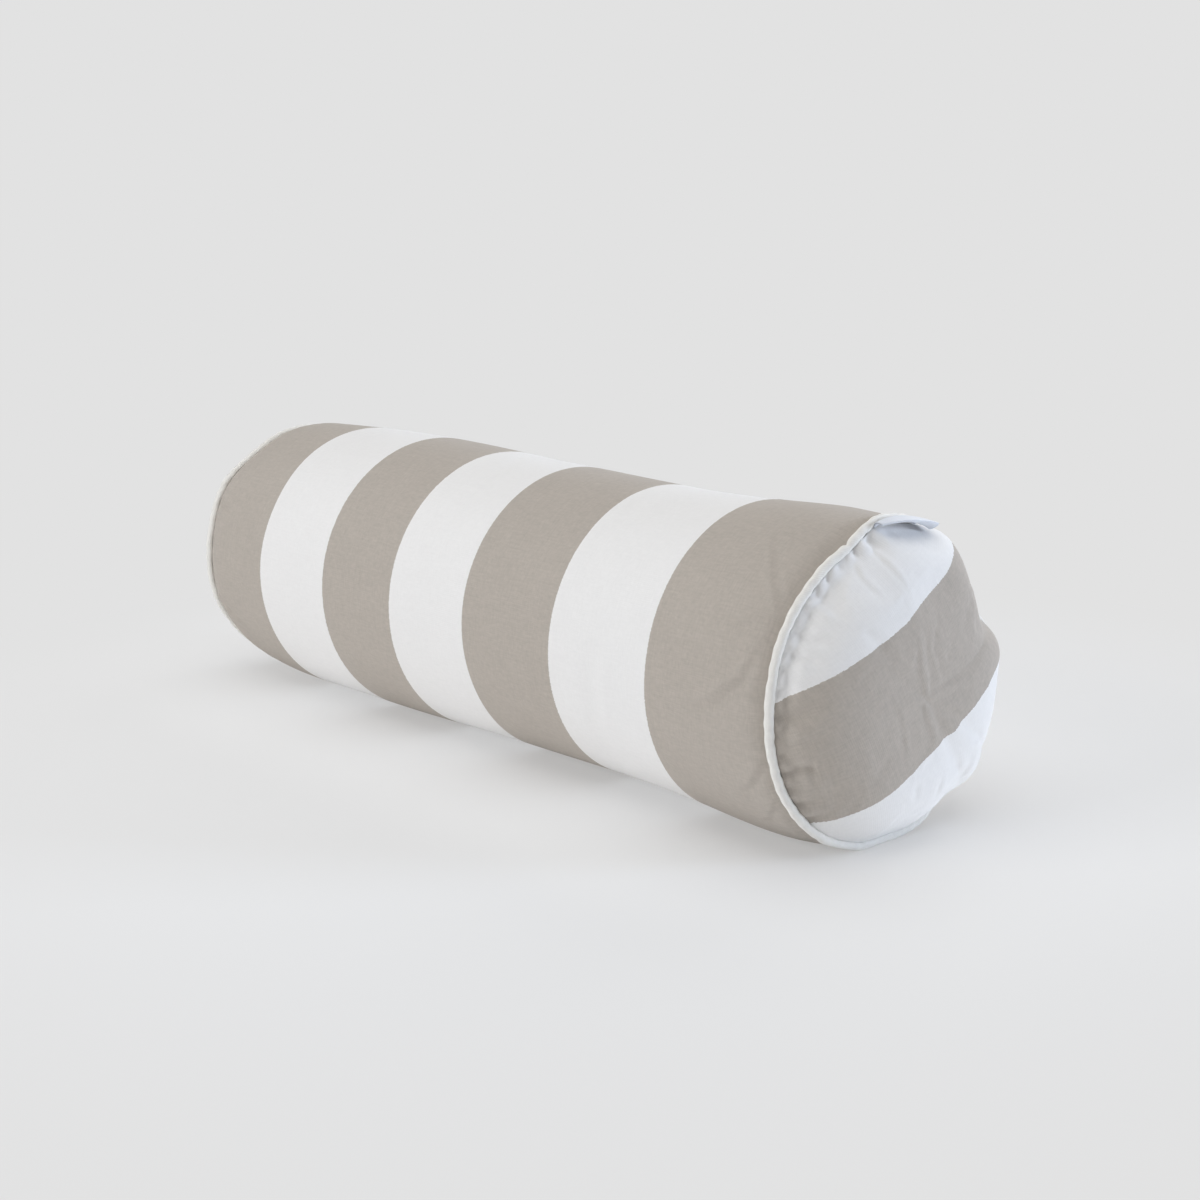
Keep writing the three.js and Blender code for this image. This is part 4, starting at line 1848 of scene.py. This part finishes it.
WRAP_CREASES = (
    Crease(on_wrap(((-191, 146), (-180, 152), (-168, 158))), 4.0, 0.85),
    Crease(on_wrap(((-34, 84), (-18, 104), (-8, 135))), 3.5, 0.77, Shape.DRAG),
    Crease(on_wrap(((-8, 112), (2, 122))), 3.0, 0.59),
    Crease(on_wrap(((69, 114), (76, 100))), 3.0, 0.59),
    Crease(on_wrap(((120, 104), (131, 118))), 3.0, 0.68, Shape.DRAG),
    Crease(on_wrap(((167, 166), (158, 184), (154, 205), (158, 222))), 7.0, 1.36),
    Crease(on_wrap(((176, 168), (169, 186), (165, 206))), 5.0, 0.59, Shape.RIDGE),
    Crease(on_wrap(((262, 118), (299, 145))), 3.5, 0.68, Shape.DRAG),
    Crease(on_wrap(((294, 158), (287, 169), (268, 178), (250, 182))), 3.5, 1.53, Shape.DRAG),
    Crease(on_wrap(((296, 150), (284, 152), (270, 150))), 3.0, 0.68, Shape.DRAG),
    Crease(on_wrap(((302, 196), (289, 206), (272, 213))), 3.5, 1.36, Shape.DRAG),
    Crease(on_wrap(((300, 214), (286, 224), (276, 228))), 3.0, 0.85, Shape.DRAG),
    Crease(on_wrap(((-298, 150), (-286, 156), (-270, 158))), 3.2, 1.02, Shape.DRAG),
    Crease(on_wrap(((-298, 196), (-280, 206), (-262, 210))), 3.4, 1.02, Shape.DRAG),
    Crease(on_wrap(((-296, 20), (-276, 30), (-250, 34))), 3.6, 1.19, Shape.DRAG),
    Crease(on_wrap(((298, 30), (278, 22), (258, 20))), 3.6, 1.19, Shape.DRAG),
    Crease(on_wrap(((-80, 30), (-20, 24), (50, 32))), 8.0, 1.19),
    Crease(on_wrap(((40, 352), (100, 344), (150, 350))), 7.0, 1.02),
    Crease(on_wrap(((-302, 318), (0, 318), (302, 318))), 1.6, 1.1),
)

# Each row gives a pucker's angle, how far it runs inwards, its width and its depth.
NEAR_PUCKERS = (
    (103, 19, 3.8, 3.8), (111, 14, 3.5, 2.8), (116, 12, 2.6, 2.0), (120, 14, 3.5, 2.6), (127, 16, 4.1, 3.4),
    (133.5, 19, 4.3, 3.8), (141, 16, 3.8, 2.8), (146, 14, 3.5, 2.2), (150, 18, 3.5, 2.8),
    (156, 12, 3.8, 2.0), (163, 10, 4.6, 2.0), (171, 10, 4.3, 1.8), (180, 21, 4.3, 2.0), (187, 14, 3.5, 1.1),
    (195, 18, 3.8, 1.6), (202, 28, 3.8, 2.2), (209, 21, 3.5, 1.6), (217, 24, 4.1, 2.2), (226, 18, 3.8, 1.8),
)


def near_pucker(angle: float, reach: float, width: float, depth: float) -> Crease:
    """Makes one pucker that starts at the near seam.

    Args:
        angle: Its angle round the roll.
        reach: How far it runs inwards, in millimetres.
        width: Its width.
        depth: Its depth.

    Returns:
        The pucker.
    """
    rows = ((angle, PUCKER_START), (angle, PUCKER_START - reach / NEAR_FLAT))
    return Crease(on_disc(NEAR_FLAT, rows), width, depth, ends=Ends.SEWN)


NEAR_CREASES = (
    *(near_pucker(*row) for row in NEAR_PUCKERS),
    Crease(on_disc(NEAR_FLAT, ((104, 0.95), (104, 0.84), (103, 0.73), (102, 0.62))), 2.0, 0.88, Shape.DRAG),
    Crease(on_disc(NEAR_FLAT, ((113, 0.95), (117, 0.84), (117, 0.66))), 2.2, 0.56, Shape.DRAG),
    Crease(on_disc(NEAR_FLAT, ((137, 0.96), (139, 0.9), (139, 0.82))), 2.0, 1.28, Shape.RIDGE),
    Crease(on_disc(NEAR_FLAT, ((158, 0.97), (157, 0.9), (158, 0.8))), 3.0, 1.44),
    Crease(on_disc(NEAR_FLAT, ((152, 0.93), (150, 0.84), (149, 0.76))), 2.6, 0.56),
    Crease(on_disc(NEAR_FLAT, ((181, 0.96), (179, 0.87), (175, 0.76))), 3.4, 1.12),
    Crease(on_disc(NEAR_FLAT, ((190, 0.96), (187, 0.86), (184, 0.76))), 3.0, 0.96, Shape.RIDGE),
    Crease(on_disc(NEAR_FLAT, ((203, 0.97), (201, 0.9), (202, 0.8))), 2.6, 1.44),
    Crease(on_disc(NEAR_FLAT, ((193, 0.8), (203, 0.82), (215, 0.88), (222, 0.93))), 2.2, 0.80, Shape.DRAG),
    Crease(on_disc(NEAR_FLAT, ((203, 0.87), (212, 0.89), (218, 0.94))), 2.0, 0.96, Shape.RIDGE),
    Crease(on_disc(NEAR_FLAT, ((166, 0.32), (204, 0.23), (237, 0.31), (247, 0.39))), 2.6, 0.40, Shape.DRAG),
    Crease(on_disc(NEAR_FLAT, ((264, 0.52), (269, 0.63))), 2.4, 0.64),
    Crease(on_disc(NEAR_FLAT, ((291, 0.56), (288, 0.69))), 2.8, 0.80, Shape.DRAG),
    Crease(on_disc(NEAR_FLAT, ((322, 0.58), (309, 0.75))), 3.0, 0.80, Shape.DRAG),
)
FAR_CREASES = (
    Crease(on_disc(FAR_FLAT, ((60, 0.96), (62, 0.84), (66, 0.7))), 2.6, 0.7, Shape.DRAG),
    Crease(on_disc(FAR_FLAT, ((128, 0.97), (126, 0.86), (120, 0.72))), 3.0, 0.8),
    Crease(on_disc(FAR_FLAT, ((205, 0.96), (208, 0.88), (214, 0.76))), 2.8, 0.8, Shape.DRAG),
    Crease(on_disc(FAR_FLAT, ((284, 0.97), (280, 0.87), (281, 0.74))), 3.0, 0.7),
    Crease(on_disc(FAR_FLAT, ((338, 0.96), (342, 0.88), (340, 0.78))), 2.6, 0.7, Shape.RIDGE),
)

TAUPE = "#b4aca3"
WHITE = "#edeceb"
# Where the colour changes along the roll, and across the end panels' band.
WRAP_STRIPE_EDGES = (-215.4, -129.5, -49.4, 30.0, 117.6, 208.0)
BAND_EDGES = (-32.9, 51.8)

# Each lamp's name, place, size, power in watts and colour.
LAMPS = (
    SoftBox("overhead_soft_box", (0.1, -0.3, 2.4), 3.0, 47.5, "#ffffff"),
    SoftBox("front_soft_box", (-0.4, -2.0, 0.5), 1.4, 21.0, "#fcfdff"),
    SoftBox("back_soft_box", (-0.3, 1.9, 1.4), 1.5, 16.5, "#ffffff"),
    SoftBox("end_soft_box", (2.3, 2.0, 0.7), 0.9, 50.0, "#deebff"),
)


def log_piece(piece: bpy.types.Object) -> None:
    """Reports one finished piece."""
    log.info("%s: %d faces", piece.name, len(piece.data.polygons))


def main() -> None:
    """Builds the bolster and its studio, piece by piece."""
    logging.basicConfig(level=logging.INFO, format="%(name)s: %(message)s")
    filling = FillingPressure()
    near_form = PanelForm(
        seam=NEAR_SEAM,
        height=32.5,
        fullness=4.6,
        dents=NEAR_DENTS,
        swells=NEAR_SWELLS,
        creases=NEAR_CREASES,
        gathers=Gathers(pitch=7.0, depth=0.5, reach=13.0, width=1.9, seed=5),
    )
    far_form = PanelForm(
        seam=FAR_SEAM,
        height=34.0,
        fullness=4.6,
        dents=(),
        swells=FAR_SWELLS,
        creases=FAR_CREASES,
        gathers=Gathers(pitch=7.5, depth=1.3, reach=15.0, width=2.1, seed=8),
    )
    wrap_form = WrapForm(
        near=NEAR_SEAM,
        far=FAR_SEAM,
        profile=WRAP_PROFILE,
        dents=WRAP_DENTS,
        creases=WRAP_CREASES,
        gathers=Gathers(pitch=8.5, depth=0.8, reach=20.0, width=2.6, seed=3),
    )
    wrap_cloth = WovenCanvas("striped_polyester_canvas", WRAP_STRIPE_EDGES, (TAUPE, WHITE))
    end_cloth = WovenCanvas("banded_polyester_canvas", BAND_EDGES, (WHITE, TAUPE))

    roll_maker = FilledRoll(wrap_form, near_form, far_form, wrap_cloth)
    roll = roll_maker.build()
    roll_maker.dress(roll)
    log_piece(roll)

    for maker in (
        EndPanel(
            "near_end_panel", "end_panel_near", near_form, end_cloth, band_angle=28.0, pull=0.117, cells=96
        ),
        EndPanel(
            "far_end_panel", "end_panel_far", far_form, end_cloth, band_angle=-12.0, pull=0.0, cells=72
        ),
    ):
        panel = maker.build(filling)
        maker.dress(panel, roll)
        log_piece(panel)

    cord_cloth = BiasCloth()
    pipings = []
    for maker in (
        Piping("near_piping", "piping_near", NEAR_SEAM, cord_cloth, join_angle=114.6, seed=21),
        Piping("far_piping", "piping_far", FAR_SEAM, cord_cloth, join_angle=250.0, seed=22),
    ):
        piping = maker.build()
        maker.dress(piping)
        pipings.append(piping)
        log_piece(piping)

    label_maker = FoldedLabel(NEAR_SEAM, WovenTape())
    label = label_maker.build()
    label_maker.dress(label, pipings[0])
    log_piece(label)

    for maker in (
        SeamStitches("near_seam_stitches", near_form, SewingThread()),
        SeamStitches("far_seam_stitches", far_form, SewingThread(), seed=12),
    ):
        stitches = maker.build()
        maker.dress(stitches)
        log_piece(stitches)

    Studio(LAMPS).build()


if __name__ == "__main__":
    main()
